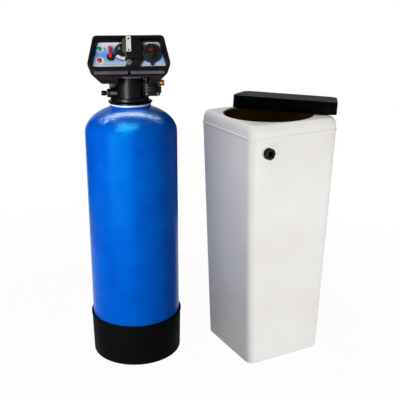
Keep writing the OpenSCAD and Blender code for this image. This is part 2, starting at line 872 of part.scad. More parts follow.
module inlet_nipple() color("#2a2a2c") nipple(1);

module outlet_nipple() color("#2a2a2c") nipple(-1);

module port_retainer() color("#242426") translate([0, boss_y + nipple_flange_h, port_z]) difference() {
    rotate([-90, 0, 0]) linear_extrude(retainer_t) polygon(rounded([
        [-port_x - nipple_flange_d / 2, -nipple_flange_d / 2],
        [port_x + nipple_flange_d / 2, -nipple_flange_d / 2],
        [port_x + nipple_flange_d / 2, nipple_flange_d / 2],
        [-port_x - nipple_flange_d / 2, nipple_flange_d / 2]], nipple_flange_d / 3));
    for (side = [-1, 1]) translate([side * port_x, 0, 0]) bar_y(-cut, retainer_t + cut, nipple_d + 2 * fit_gap);
    for (up = [-1, 1]) translate([0, 0, up * retainer_screw_z])
        bar_y(-cut, retainer_t + cut, screw_d + 2 * fit_gap);
}

// A screw along +Y whose head's underside is at the origin
module screw() {
    bar_y(-screw_head_h, 0, screw_head_d);
    bar_y(-cut, screw_l, screw_d);
}

module valve_screws() color("silver") {
    for (up = [-1, 1]) translate([0, boss_y + nipple_flange_h + retainer_t, port_z + up * retainer_screw_z])
        rotate(180) screw();
    for (side = [-1, 1])
        translate([cover_x + side * cover_screw_x, -injector_w / 2 - cover_t, cover_screw_z]) screw();
}

// Outline of the injector, seen from the front
module injector_side() polygon([
    [pad_x, injector_z],
    [injector_x - gusset_t, injector_z],
    [injector_x, injector_z + gusset_t],
    [injector_x, low_top],
    [elbow_x, low_top],
    [elbow_x - brass_drop, injector_top],
    [pad_x, injector_top]]);

module injector_body() color("#1a1a1c") difference() {
    union() {
        translate([0, injector_w / 2, 0]) rotate([90, 0, 0]) linear_extrude(injector_w) injector_side();
        translate([elbow_x - cut, -elbow_w / 2, low_top - cut])
            cube([elbow_l + cut, elbow_w, brass_z + elbow_w / 2 - rib_out - low_top + cut]);
    }
    translate([0, 0, injector_mid]) bar_x(pad_x - cut, nozzle_end_x, nozzle_d);
    translate([0, 0, brass_z])
        bar_x(elbow_x + elbow_l - brass_thread_l, injector_x, brass_thread_d + 2 * fit_gap);
    translate([0, 0, brass_z]) bar_x(elbow_x, injector_x, brine_bore_d);
    translate([brine_x, brine_y, injector_top - stem_below - stem_lift])
        cylinder(d = stem_d + 2 * shaft_gap, h = injector_h);
    for (side = [-1, 1]) translate([cover_x + side * cover_screw_x, -injector_w / 2, cover_screw_z])
        bar_y(-cut, screw_l - cover_t + cut, screw_d + 2 * fit_gap);
}

module injector_cover() color("#222224") translate([0, -injector_w / 2, 0]) difference() {
    union() {
        rotate([90, 0, 0]) linear_extrude(cover_t) injector_side();
        intersection() {
            rotate([90, 0, 0]) linear_extrude(cover_t + rib_out) injector_side();
            for (i = [0:rib_count - 1])
                translate([0, -cover_t - injector_w, first_rib_z + i * rib_pitch])
                    cube([injector_x, injector_w + cover_t, rib_t]);
        }
    }
    for (side = [-1, 1]) translate([cover_x + side * cover_screw_x, 0, cover_screw_z])
        bar_y(-cover_t - cut, cut, screw_d + 2 * fit_gap);
}

module injector_nozzle() color("white") translate([0, 0, injector_mid]) difference() {
    union() {
        bar_x(bore_d / 2 + spacer_h, nozzle_end_x - fit_gap, nozzle_d * 0.7);
        for (x = [bore_d / 2 + spacer_h, nozzle_end_x - seal_h - fit_gap])
            bar_x(x, x + seal_h, nozzle_d - 2 * fit_gap);
    }
    bar_x(0, injector_x, nozzle_d * 0.3);
}

module brine_valve_cap() color("#202022") translate([brine_x, brine_y, injector_top]) difference() {
    cylinder(d = valve_cap_d, h = valve_cap_h);
    translate([0, 0, -cut]) cylinder(d = valve_cap_d - 2 * cap_wall, h = valve_cap_h - cap_wall + cut);
    cylinder(d = stem_d + 2 * shaft_gap, h = valve_cap_h + cut);
}

module brine_stem() color("silver") translate([brine_x, brine_y, injector_top]) {
    translate([0, 0, -stem_below])
        cylinder(d = stem_d, h = stem_below + valve_cap_h + stem_above, $fn = small_fn);
    translate([0, 0, shaft_gap])
        cylinder(d = valve_cap_d - 2 * cap_wall - 2 * run_gap, h = cap_wall, $fn = small_fn);
}

// Ring of a helical wire at a fraction of its length
function coil_ring(f, r, h) = let (a = 360 * spring_turns * f, sides = 6)
    [for (k = [0:sides - 1]) let (b = -360 * k / sides, out = r + spring_wire_d / 2 * cos(b))
        [out * cos(a), out * sin(a), h * f + spring_wire_d / 2 * sin(b)]];

module brine_spring() color("silver") {
    low = injector_top + shaft_gap + cap_wall + spring_wire_d / 2 + fit_gap;
    high = injector_top + valve_cap_h - cap_wall - spring_wire_d / 2 - fit_gap;
    r = stem_d / 2 + shaft_gap + spring_wire_d / 2;
    steps = spring_turns * 8;
    translate([brine_x, brine_y, low]) loft([for (i = [0:steps]) coil_ring(i / steps, r, high - low)]);
    echo(least_gap_between_spring_turns = (high - low) / spring_turns - spring_wire_d);
}

module brine_fitting() color("#c8964b") translate([elbow_x + elbow_l, 0, brass_z]) difference() {
    union() {
        bar_x(-brass_thread_l + fit_gap, 0, brass_thread_d);
        rotate([0, 90, 0]) rotate(30) cylinder(d = brass_hex_d, h = brass_hex_l, $fn = 6);
        bar_x(brass_hex_l, brass_hex_l + brass_nut_l, brass_hex_d - 1);
    }
    bar_x(-brass_thread_l, brass_hex_l + brass_nut_l + cut, brine_bore_d);
}

module drain_fitting() color("#1e1e20") translate([-drain_x, 0, drain_z]) difference() {
    union() {
        bar_x(-fit_gap, drain_spigot_l, drain_spigot_d);
        rotate([0, -90, 0]) cylinder(d = drain_hex_d, h = drain_hex_l, $fn = 6);
        bar_x(-drain_hex_l - drain_neck_l, 0, drain_end_d - 2);
        bar_x(-drain_hex_l - drain_neck_l - drain_end_l, -drain_hex_l - drain_neck_l, drain_end_d);
    }
    bar_x(-drain_hex_l - drain_neck_l - drain_end_l - cut, drain_spigot_l + cut, drain_bore_d);
}

// Outline of the head at one level: half widths and heights of its top, middle and lower edge
function head_pts(top, mid, low, tv, mv, lv, r) = rounded(
    [[-low, -lv], [low, -lv], [mid, -mv], [top, tv], [-top, tv], [-mid, -mv]], r);

// Ring of points at a level out of the face
function face_ring(pts, n) = [for (p = pts) [p[0], p[1], n]];

// Ring in the upright plane of the head's back, its points given as [right, up from the floor]
function back_ring(pts, y) = [for (p = pts) let (dy = y + face_y, dz = p[1] - face_z)
    [p[0], dy * sin(lean) + dz * cos(lean), dz * sin(lean) - dy * cos(lean)]];

// Outline of the bezel at its front, and set in by a wall
function front_pts(wall) = head_pts(top_w - wall, mid_w - wall, lip_w - wall,
    top_v - wall, mid_v, lip_v - wall, head_corner_r - wall);

// Outline of the head behind its face, at a depth, and set in by a wall
function side_pts(depth, mid, low, wall) = head_pts(top_w - wall, mid - wall, low - wall,
    top_v + depth * top_slope - wall, mid_v, lip_v + depth * chin_slope - wall, head_corner_r - wall);

// Outline of the head's back, set in by a wall
function rear_pts(wall) = rounded([
    [-chin_w + back_in[2] + wall, apron_z + wall],
    [chin_w - back_in[2] - wall, apron_z + wall],
    [mid_w - back_in[1] - wall, back_mid_z],
    [top_w - back_in[0] - wall, plate_z + back_h - wall],
    [-top_w + back_in[0] + wall, plate_z + back_h - wall],
    [-mid_w + back_in[1] + wall, back_mid_z]], head_corner_r - wall);

// Outline of the bezel's recess at a level, grown by a wall
function recess_pts(n, wall) = let (t = -n / recess_t, side = rim_w + side_draft * t - wall)
    head_pts(top_w - side, mid_w - side, lip_w - side,
        top_v - rim_w - top_draft * t + wall, mid_v, lip_v - lip_rim_w - lip_draft * t + wall,
        head_corner_r - rim_w + wall);

// Sets children on the leaning face: X right, Y up the face, Z out of it
module on_face() translate([0, -face_y, face_z]) rotate([90 - lean, 0, 0]) children();

// A cylinder on the face, from one level to another
module pin(x, v, n0, n1, d) translate([x, v, n0]) cylinder(d = d, h = n1 - n0);

module head_plate() color("lightgrey") difference() {
    union() {
        translate([-channel_w + notch_gap, -barrel_d / 2 + notch_gap, plate_z])
            cube([2 * channel_w - 2 * notch_gap, barrel_d / 2 + plate_back_y - notch_gap, plate_t]);
        translate([-tab_w, -tab_y, plate_z]) cube([2 * tab_w, tab_y, plate_t]);
    }
    translate([0, 0, plate_z - cut]) cylinder(d = upper_d + 2 * fit_gap, h = plate_t + 2 * cut);
}

module rear_housing() color("#141416") difference() {
    on_face() loft([
        back_ring(rear_pts(0), back_y),
        face_ring(side_pts(chin_n, mid_w - 2, chin_w, 0), -chin_n),
        face_ring(side_pts(bezel_t, mid_w, band_w, 0), -bezel_t)]);
    difference() {
        on_face() loft([
            back_ring(rear_pts(head_wall), back_y - head_wall),
            face_ring(side_pts(chin_n, mid_w - 2, chin_w, head_wall), -chin_n),
            face_ring(side_pts(bezel_t, mid_w, band_w, head_wall), -bezel_t),
            face_ring(side_pts(bezel_t, mid_w, band_w, head_wall), cut - bezel_t)]);
        translate([-channel_w - head_wall, -2 * back_y, apron_z])
            cube([channel_w + channel_right + 2 * head_wall, 4 * back_y, floor_step + head_wall - apron_z]);
    }
    translate([-channel_w, -channel_front, apron_z - cut])
        cube([channel_w + channel_right, channel_front + back_y + cut, floor_step - apron_z + cut]);
    translate([-tab_w - notch_gap, -2 * back_y, apron_z - cut])
        cube([tab_w + notch_gap + channel_right, 2 * back_y, floor_step - apron_z + cut]);
    translate([0, 0, floor_step - cut]) cylinder(d = upper_d + 2 * shaft_gap, h = head_wall + 2 * cut);
    translate([brine_x, brine_y, floor_step - cut]) cylinder(d = stem_d + 2 * run_gap, h = head_wall + 2 * cut);
}

module front_bezel() color("#202024") on_face() difference() {
    union() {
        difference() {
            loft([face_ring(side_pts(bezel_t, mid_w, band_w, 0), -bezel_t), face_ring(front_pts(0), 0)]);
            loft([
                face_ring(side_pts(bezel_t, mid_w, band_w, head_wall), -bezel_t - cut),
                face_ring(front_pts(head_wall), -pocket_n)]);
        }
        loft([face_ring(recess_pts(face_n, head_wall), face_n), face_ring(recess_pts(-cut, head_wall), -cut)]);
    }
    loft([face_ring(recess_pts(face_n - cut, 0), face_n - cut), face_ring(recess_pts(cut, 0), cut)]);
    translate([-latch_w / 2, -lip_v - bezel_t, -bezel_t - cut])
        cube([latch_w, bezel_t + cut, bezel_t - pocket_n]);
}

module face_plate() color("#3f7fd0") on_face() difference() {
    translate([0, 0, face_n - face_t]) linear_extrude(face_t) polygon(recess_pts(face_n, head_wall));
    pin(time_x, time_v, face_n - face_t - cut, face_n + cut, shaft_d + 2 * shaft_gap);
    pin(-program_x, program_v, face_n - face_t - cut, face_n + cut, shaft_d + 2 * shaft_gap);
    pin(0, -knob_v, face_n - face_t - cut, face_n + cut, knob_shaft_d + 2 * shaft_gap);
    pin(-selector_x, -selector_v, face_n - face_t - cut, face_n + cut, lever_shaft_d + 2 * shaft_gap);
}

module timer_plate() color("silver") on_face() difference() {
    union() {
        translate([0, 0, timer_n - timer_t]) linear_extrude(timer_t) polygon(rounded([
            [-timer_left, -timer_low_v], [timer_right, -timer_low_v],
            [timer_right, timer_top_v], [-timer_left, timer_top_v]], timer_corner_r));
        for (p = posts) pin(p[0], p[1], timer_n - cut, face_n - face_t, post_d);
    }
    pin(time_x, time_v, timer_n - timer_t - cut, timer_n + cut, shaft_d + 2 * shaft_gap);
    pin(-program_x, program_v, timer_n - timer_t - cut, timer_n + cut, shaft_d + 2 * shaft_gap);
    pin(0, -knob_v, timer_n - timer_t - cut, timer_n + cut, knob_shaft_d + 2 * shaft_gap);
    pin(clock_x, clock_v, timer_n - timer_t - cut, timer_n + cut, pinion_shaft_d + 2 * shaft_gap);
}

module centre_cover() color("#121214") on_face() difference() {
    intersection() {
        loft([
            face_ring(recess_pts(face_n, -fit_gap), face_n),
            face_ring(recess_pts(0, -fit_gap), 0)]);
        translate([0, 0, face_n]) linear_extrude(recess_t) polygon([
            [-cover_left, -cover_low_v],
            [cover_right / 2, -cover_low_v],
            [cover_right - 2, -cover_step_v],
            [cover_right, 0],
            [cover_right, cover_top_v / 2],
            [cover_right - 6, cover_top_v],
            [-flank_left, cover_top_v],
            [-flank_left, flank_low_v + flank_left - cover_left],
            [-cover_left, flank_low_v]]);
        translate([0, cover_top_v, 0]) rotate([90, 0, 0]) linear_extrude(cover_low_v + cover_top_v) polygon([
            [-flank_left, face_n],
            [cover_right, face_n],
            [cover_right, cover_side_n],
            [plateau_w, 0],
            [-plateau_w, 0],
            [-flank_left, cover_side_n]]);
    }
    translate([-cover_left - cut, -cover_low_v - cut, cover_low_n])
        cube([cover_left + cover_right + 2 * cut, cover_low_v - cover_step_v + cut, -cover_low_n + cut]);
    pin(-program_x, program_v, face_n - cut, roof_n, program_d + 2 * run_gap);
    pin(time_x, time_v, face_n - cut, cut, time_d + 2 * run_gap);
    pin(0, -knob_v, face_n - cut, cut, knob_shaft_d + 2 * shaft_gap);
    for (v = strip_screw_v) pin(0, v, -strip_screw_l, cut, strip_screw_d / 2 + 2 * fit_gap);
}

module index_strip() color("white") on_face() difference() {
    translate([-strip_w / 2, strip_low_v, 0]) cube([strip_w, top_v - rim_w / 2 - strip_low_v, strip_t]);
    for (v = strip_screw_v) pin(0, v, -cut, strip_t + cut, strip_screw_d / 2 + 2 * fit_gap);
}

module strip_screws() color("#303034") on_face() for (v = strip_screw_v) {
    pin(0, v, strip_t, 2 * strip_t, strip_screw_d);
    pin(0, v, fit_gap - strip_screw_l, strip_t + cut / 2, strip_screw_d / 2);
}

module dial_scale() color("white") on_face() translate([-program_x, program_v, roof_n]) intersection() {
    difference() {
        cylinder(r = scale_out_r, h = scale_t);
        translate([0, 0, -cut]) cylinder(r = scale_in_r, h = scale_t + 2 * cut);
    }
    linear_extrude(scale_t) polygon([
        [0, 0],
        2 * scale_out_r * [cos(scale_from), sin(scale_from)],
        2 * scale_out_r * [cos((scale_from + scale_to) / 2), sin((scale_from + scale_to) / 2)],
        2 * scale_out_r * [cos(scale_to), sin(scale_to)]]);
    translate([-3 * scale_out_r, -3 * scale_out_r, 0])
        cube([3 * scale_out_r + program_x - cover_left, 6 * scale_out_r, scale_t]);
}

module time_dial() color("#161618") on_face() difference() {
    union() {
        pin(time_x, time_v, dial_n, dial_top_n, time_d);
        pin(time_x, time_v, dial_top_n - cut, dial_top_n + hub_t, hub_d);
        pin(time_x, time_v, timer_n - timer_t, dial_n + cut, shaft_d);
        translate([time_x, time_v - time_d / 2 + hub_t, dial_top_n - cut])
            cylinder(d = hub_t, h = cut + strip_t);
    }
    for (i = [0:notch_count - 1]) translate([time_x, time_v, dial_n - cut]) rotate(i * 360 / notch_count)
        translate([time_d / 2, 0, 0]) cylinder(d = dial_notch_d, h = dial_t + 2 * cut, $fn = small_fn);
}

// Points of a gear's outline, a tooth pointing along X
function gear_pts(teeth) = let (p = 360 / teeth, r = teeth * gear_m / 2)
    [for (i = [0:teeth - 1], k = tooth_pts)
        (r + k[1] * gear_m) * [cos((i + k[0]) * p), sin((i + k[0]) * p)]];

module gear(teeth) linear_extrude(gear_t) polygon(gear_pts(teeth));

module time_gear() color("ivory") on_face() difference() {
    translate([time_x, time_v, gear_n]) rotate(clock_angle) gear(time_teeth);
    pin(time_x, time_v, gear_n - cut, gear_n + gear_t + cut, shaft_d + 2 * fit_gap);
}

module clock_motor() color("silver") on_face() difference() {
    pin(clock_x, clock_v, timer_n - timer_t - motor_t, timer_n - timer_t, motor_d);
    pin(clock_x, clock_v, timer_n - timer_t - motor_seat, timer_n, pinion_shaft_d + 2 * shaft_gap);
}

module clock_pinion() color("goldenrod") on_face() {
    translate([clock_x, clock_v, gear_n]) rotate(clock_angle + 180 + 180 / pinion_teeth) gear(pinion_teeth);
    pin(clock_x, clock_v, timer_n - timer_t - motor_seat + shaft_gap, gear_n + cut, pinion_shaft_d);
}

module program_wheel() color("#28242c") on_face() difference() {
    union() {
        pin(-program_x, program_v, dial_n, dial_top_n, program_d);
        pin(-program_x, program_v, timer_n - timer_t, dial_n + cut, shaft_d);
    }
    for (i = [0:notch_count - 1]) translate([-program_x, program_v, dial_n - cut]) rotate(i * 360 / notch_count)
        translate([program_d / 2, 0, 0]) cylinder(d = dial_notch_d, h = dial_t + 2 * cut, $fn = small_fn);
}

module regen_knob() color("grey") on_face() difference() {
    union() {
        pin(0, -knob_v, cover_low_n + run_gap, cover_low_n + run_gap + knob_t, knob_d);
        pin(0, -knob_v, timer_n - timer_t, cover_low_n + run_gap + cut, knob_shaft_d);
    }
    translate([-knob_slot_w / 2, -knob_v - knob_d, cover_low_n + run_gap + knob_t - knob_slot_w])
        cube([knob_slot_w, 2 * knob_d, knob_slot_w + cut]);
}

module selector_boss() color("#161618") on_face() difference() {
    pin(-selector_x, -selector_v, face_n, face_n + boss_t, selector_d);
    pin(-selector_x, -selector_v, face_n - cut, face_n + boss_t + cut, lever_shaft_d + 2 * shaft_gap);
}

module selector_lever() color("crimson") on_face() translate([-selector_x, -selector_v, 0]) {
    translate([0, 0, face_n + boss_t + run_gap]) linear_extrude(lever_t) rotate(pointer_turn) polygon(concat(
        [for (i = [0:small_fn / 2]) let (a = 180 + 180 * i / (small_fn / 2)) pointer_w / 2 * [cos(a), sin(a)]],
        [for (i = [0:small_fn / 4]) let (a = 180 * i / (small_fn / 4))
            [pointer_w / 4 * cos(a), pointer_l - pointer_w / 4 + pointer_w / 4 * sin(a)]]));
    pin(0, 0, face_n - 2 * face_t, face_n + boss_t + run_gap + cut, lever_shaft_d);
}

// A domed marker on the face plate
module lamp(v) on_face() translate([-lamp_x, v, face_n]) rotate_extrude() polygon(concat(
    [[0, 0]],
    [for (i = [0:dome_steps]) let (a = 90 * i / dome_steps) [lamp_d / 2 * cos(a), lamp_t * sin(a)]]));

module green_lamp() color("green") lamp(green_v);

module red_lamp() color("red") lamp(-red_v);

module drive_bracket() color("silver") difference() {
    union() {
        translate([-bracket_w, drive_y + bracket_gap, floor_step + head_wall])
            cube([bracket_w + drive_reach + pinion_r, bracket_t, drive_z + axle_d - floor_step - head_wall]);
        translate([-bracket_w, drive_y + bracket_gap, floor_step + head_wall])
            cube([bracket_w + drive_reach + pinion_r, motor_t, bracket_t]);
    }
    translate([0, 0, drive_z]) bar_y(drive_y, drive_y + bracket_gap + 2 * bracket_t, axle_d + 2 * shaft_gap);
    translate([drive_reach, 0, drive_z])
        bar_y(drive_y, drive_y + bracket_gap + 2 * bracket_t, pinion_shaft_d + 2 * shaft_gap);
}

module drive_gear() color("ivory") {
    translate([0, drive_y, drive_z]) rotate([90, 0, 0]) gear(drive_teeth);
    translate([0, 0, drive_z]) bar_y(drive_y - cut, drive_y + bracket_gap + bracket_t, axle_d);
    translate([0, 0, drive_z + crank_r]) bar_y(yoke_y + yoke_t + run_gap, drive_y - gear_t + cut, crank_d);
}

module drive_motor() color("silver") translate([drive_reach, 0, drive_z]) difference() {
    bar_y(motor_y, motor_y + motor_t, motor_d);
    bar_y(motor_y - cut, motor_y + motor_seat, pinion_shaft_d + 2 * shaft_gap);
}

module drive_pinion() color("goldenrod") translate([drive_reach, 0, drive_z]) {
    translate([0, drive_y, 0]) rotate([90, 0, 0]) rotate(180 + 180 / pinion_teeth) gear(pinion_teeth);
    bar_y(drive_y - cut, motor_y + motor_seat - shaft_gap, pinion_shaft_d);
}

// Sets children in the brine tank's own frame
module in_brine() translate([tank_gap, 0, 0]) rotate(brine_turn) children();

// Half width of the brine tank's outer wall at a height
function wall_s(z) = (brine_floor_w + (brine_top_w - brine_floor_w) * z / rim_z) / 2;

// Square ring with rounded corners at a height
function square_ring(s, r, z) = [for (p = rounded([[-s, -s], [s, -s], [s, s], [-s, s]], r)) [p[0], p[1], z]];

// Rings of the brine tank's outer surface, set in by a wall
function brine_rings(wall) = let (side = wall_s(rim_z) + bead, low = deck_z - shoulder_h) concat(
    [for (i = [0:shoulder_steps]) let (a = 90 * i / shoulder_steps, up = foot_round * (1 - cos(a)),
            inset = foot_round * (1 - sin(a)) + wall)
        square_ring(wall_s(up) - inset, corner_r - inset, wall + up)],
    [square_ring(wall_s(rim_z) - wall, corner_r - wall, rim_z),
     square_ring(side - wall, corner_r - wall, rim_z + bead)],
    [for (i = [0:shoulder_steps]) let (a = 90 * i / shoulder_steps, inset = shoulder_w * (1 - cos(a)) + wall)
        square_ring(side - inset, corner_r - inset / 2, low + (shoulder_h - wall) * sin(a))]);

// Sets children on the wall at the overflow's place, Z out of the wall
module at_overflow() in_brine() translate([overflow_x, -wall_s(overflow_z), overflow_z])
    rotate([90 + wall_lean, 0, 0]) children();

module brine_tank() color("whitesmoke") difference() {
    in_brine() loft(brine_rings(0));
    in_brine() loft(brine_rings(brine_wall));
    translate([tank_gap, 0, deck_z - shoulder_h]) cylinder(d = mouth_d, h = shoulder_h + cut);
    at_overflow() translate([0, 0, -overflow_stem_l])
        cylinder(d = overflow_stem_d + 2 * fit_gap, h = 2 * overflow_stem_l);
}

module overflow_fitting() color("#161618") at_overflow() difference() {
    union() {
        cylinder(d = overflow_d, h = overflow_t, $fn = 8);
        translate([0, 0, -overflow_stem_l]) cylinder(d = overflow_stem_d, h = overflow_stem_l + cut);
    }
    translate([0, 0, -overflow_stem_l - cut])
        cylinder(d = overflow_bore_d, h = overflow_stem_l + overflow_t + 2 * cut);
}

// Sets children at the brine well's foot
module in_well() in_brine() translate([-well_x, well_x, 0]) children();

module brine_well() color("gainsboro") in_well() translate([0, 0, brine_wall]) difference() {
    cylinder(r = well_r, h = well_h);
    translate([0, 0, -cut]) cylinder(r = well_r - well_wall, h = well_h + 2 * cut);
    for (a = [0:90:270]) rotate(a) translate([0, 0, well_slot_h]) bar_x(0, 2 * well_r, well_slot_h);
}

module well_cap() color("#303034") in_well() translate([0, 0, well_top_z]) {
    cylinder(r = well_r + cap_t, h = cap_t);
    difference() {
        translate([0, 0, -cap_skirt]) cylinder(r = well_r - well_wall - fit_gap, h = cap_skirt + cut);
        translate([0, 0, -cap_skirt - cut]) cylinder(r = well_r - 2 * well_wall, h = cap_skirt + cut);
    }
}

module salt_grid() color("darkgrey") in_brine() difference() {
    half = wall_s(grid_z - grid_t) - brine_wall - grid_gap;
    leg = half - 1.25 * grid_leg_d;
    union() {
        translate([0, 0, grid_z - grid_t]) linear_extrude(grid_t)
            polygon(rounded([[-half, -half], [half, -half], [half, half], [-half, half]], corner_r));
        for (x = [-leg, leg], y = [-leg, leg]) if (x > 0 || y < 0)
            translate([x, y, brine_wall]) cylinder(d = grid_leg_d, h = grid_z - grid_t - brine_wall + cut);
    }
    translate([-well_x, well_x, 0]) cylinder(r = well_r + grid_gap, h = 2 * grid_z);
    for (i = [-grid_rows:grid_rows], j = [-grid_rows:grid_rows]) if (grid_free(i, j))
        translate([i * grid_pitch, j * grid_pitch, grid_z - grid_t - cut])
            cylinder(d = grid_hole_d, h = grid_t + 2 * cut, $fn = small_fn);
}

// True where a hole of the salt grid is clear of the well and of the legs
function grid_free(i, j) =
    norm([i * grid_pitch + well_x, j * grid_pitch - well_x]) > well_r + 2 * grid_hole_d
    && norm([abs(i), abs(j)]) * grid_pitch < wall_s(grid_z);

module float_valve() color("#3a3a3e") in_well() translate([0, 0, valve_bar_z]) difference() {
    intersection() {
        cylinder(r = well_r - well_wall - fit_gap, h = valve_bar_t);
        union() {
            translate([-well_r, -valve_bar_w / 2, 0]) cube([2 * well_r, valve_bar_w, valve_bar_t]);
            translate([-valve_bar_w / 2, 0, 0]) cube([valve_bar_w, well_r, valve_bar_t]);
        }
    }
    translate([0, 0, -cut]) cylinder(d = float_rod_d + 2 * shaft_gap, h = valve_bar_t + 2 * cut);
    translate([0, pickup_x, -cut]) cylinder(d = pickup_d + 2 * fit_gap, h = valve_bar_t + 2 * cut);
}

module float() color("orange") in_well() {
    stop_z = valve_bar_z + valve_bar_t + shaft_gap;
    translate([0, 0, float_z]) cylinder(d = float_d, h = float_h);
    translate([0, 0, float_z]) cylinder(d = float_rod_d, h = stop_z + 2 * float_stop_t - float_z);
    translate([0, 0, stop_z]) cylinder(d = float_stop_d, h = float_stop_t);
}

module pickup_tube() color("white") in_well() translate([0, pickup_x, brine_wall + pickup_foot]) difference() {
    cylinder(d = pickup_d, h = valve_bar_z + valve_bar_t - brine_wall - pickup_foot);
    translate([0, 0, -cut]) cylinder(d = pickup_d - 2 * cap_wall, h = valve_bar_z);
}

// Sets children in the lid's own frame as it lies, its rim at height nought
module in_lid() translate([tank_gap + lid_dx, lid_dy, lid_z])
    rotate(lid_turn) rotate([0, lid_roll, 0]) rotate([-lid_tilt, 0, 0]) children();

// Rings of the lid's outer surface, set in by a wall
function lid_rings(wall) = concat(
    [square_ring(lid_w / 2 - wall, lid_corner_r - wall, wall > 0 ? -cut : 0)],
    [for (i = [0:lid_edge_steps]) let (a = 90 * i / lid_edge_steps, inset = lid_edge_r * (1 - cos(a)) + wall,
            up = lid_h - lid_edge_r + (lid_edge_r - wall) * sin(a))
        square_ring(lid_w / 2 - inset, lid_corner_r - inset, up)]);

module brine_lid() color("#1a1a1c") in_lid() {
    difference() {
        loft(lid_rings(0));
        loft(lid_rings(lid_wall));
    }
    intersection() {
        loft(lid_rings(lid_wall / 2));
        translate([0, 0, lid_h - lid_wall - lid_rib_h]) for (side = [-1, 1]) {
            translate([side * lid_rib_u - lid_rib_t / 2, -lid_w, 0]) cube([lid_rib_t, 2 * lid_w, lid_h]);
            translate([-lid_w, side * lid_rib_v - lid_rib_t / 2, 0]) cube([2 * lid_w, lid_rib_t, lid_h]);
        }
    }
}

tank_shell();
tank_liner();
neck_collar();
tank_boot();
riser_tube();
lower_basket();
upper_strainer();
gravel_bed();
resin_bed();
valve_body();
neck_o_ring();
barrel_seals();
barrel_spacers();
end_plug();
piston();
piston_rod();
inlet_nipple();
outlet_nipple();
port_retainer();
valve_screws();
injector_body();
injector_cover();
injector_nozzle();
brine_valve_cap();
brine_stem();
brine_spring();
brine_fitting();
drain_fitting();
head_plate();
rear_housing();
front_bezel();
face_plate();
timer_plate();
centre_cover();
index_strip();
strip_screws();
dial_scale();
time_dial();
time_gear();
clock_motor();
clock_pinion();
program_wheel();
regen_knob();
selector_boss();
selector_lever();
green_lamp();
red_lamp();
drive_bracket();
drive_gear();
drive_motor();
drive_pinion();
brine_tank();
brine_lid();
overflow_fitting();
brine_well();
well_cap();
salt_grid();
float_valve();
float();
pickup_tube();
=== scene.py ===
import json
import math

import bmesh
import bpy
from mathutils import Matrix, Vector

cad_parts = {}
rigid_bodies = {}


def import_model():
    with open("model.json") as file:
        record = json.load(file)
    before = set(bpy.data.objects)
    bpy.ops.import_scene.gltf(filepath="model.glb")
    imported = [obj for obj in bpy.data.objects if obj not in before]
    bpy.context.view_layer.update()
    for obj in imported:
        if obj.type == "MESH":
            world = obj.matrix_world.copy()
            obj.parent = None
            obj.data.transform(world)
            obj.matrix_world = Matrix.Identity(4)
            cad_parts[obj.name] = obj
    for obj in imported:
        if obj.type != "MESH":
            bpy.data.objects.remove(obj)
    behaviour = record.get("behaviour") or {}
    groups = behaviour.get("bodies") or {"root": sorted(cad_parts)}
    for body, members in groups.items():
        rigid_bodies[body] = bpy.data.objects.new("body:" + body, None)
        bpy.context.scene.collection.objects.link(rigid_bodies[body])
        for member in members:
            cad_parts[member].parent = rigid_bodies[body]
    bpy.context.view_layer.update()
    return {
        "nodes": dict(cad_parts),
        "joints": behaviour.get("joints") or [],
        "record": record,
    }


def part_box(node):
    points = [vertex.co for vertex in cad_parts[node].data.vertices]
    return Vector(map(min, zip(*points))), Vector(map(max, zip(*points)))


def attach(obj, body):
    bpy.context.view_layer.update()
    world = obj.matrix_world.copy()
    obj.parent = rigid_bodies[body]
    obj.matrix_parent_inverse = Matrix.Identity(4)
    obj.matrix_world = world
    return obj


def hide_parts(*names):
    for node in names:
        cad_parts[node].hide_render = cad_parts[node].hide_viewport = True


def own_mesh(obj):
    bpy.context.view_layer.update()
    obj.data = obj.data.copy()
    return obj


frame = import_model()
nodes = frame["nodes"]
joints = {joint["name"]: joint for joint in frame["joints"]}
mounts = {mount["name"]: mount for mount in frame["record"]["mounts"]}
mm = 0.001
print("frame loaded:", len(nodes), "nodes")


# Small tools for working in edit mode

def only(obj):
    bpy.ops.object.select_all(action="DESELECT")
    obj.select_set(True)
    bpy.context.view_layer.objects.active = obj


def edit(obj):
    only(obj)
    bpy.ops.object.mode_set(mode="EDIT")
    bpy.ops.mesh.select_all(action="SELECT")


def leave():
    bpy.ops.object.mode_set(mode="OBJECT")


def pick(obj, kind, test):  # select by place or normal, in edit mode
    bpy.ops.mesh.select_mode(type=kind)
    bpy.ops.mesh.select_all(action="DESELECT")
    mesh = bmesh.from_edit_mesh(obj.data)
    parts = {"VERT": mesh.verts, "EDGE": mesh.edges, "FACE": mesh.faces}[kind]
    for part in parts:
        if test(part):
            part.select_set(True)
    mesh.select_flush_mode()
    bmesh.update_edit_mesh(obj.data)


def middle(part):  # middle of an edge or a face
    return sum((v.co for v in part.verts), Vector()) / len(part.verts)


def added(name):  # the primitive that was just added, under its own name
    obj = bpy.context.object
    obj.name = name
    obj.data.name = name
    return obj


def applied(obj, kind, **settings):
    only(obj)
    modifier = obj.modifiers.new(kind.lower(), kind)
    for key, value in settings.items():
        setattr(modifier, key, value)
    bpy.ops.object.modifier_apply(modifier=modifier.name)


def tidyFaces(obj, gap=1e-6):  # merge doubles and turn the faces outwards
    edit(obj)
    bpy.ops.mesh.remove_doubles(threshold=gap)
    bpy.ops.mesh.normals_make_consistent(inside=False)
    leave()


def settle(obj):  # the object's place goes into its mesh
    only(obj)
    bpy.ops.object.transform_apply(location=True, rotation=True, scale=True)


def stand(obj, matrix):  # a piece modelled flat is set in its place
    obj.matrix_world = matrix
    settle(obj)


def smooth(obj, angle=35):
    only(obj)
    bpy.ops.object.shade_smooth_by_angle(angle=math.radians(angle))


def fit(obj, finish, body, stands=()):
    if finish:
        obj.data.materials.clear()
        obj.data.materials.append(finish)
    if stands:
        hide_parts(*stands)
    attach(obj, body)
    return obj


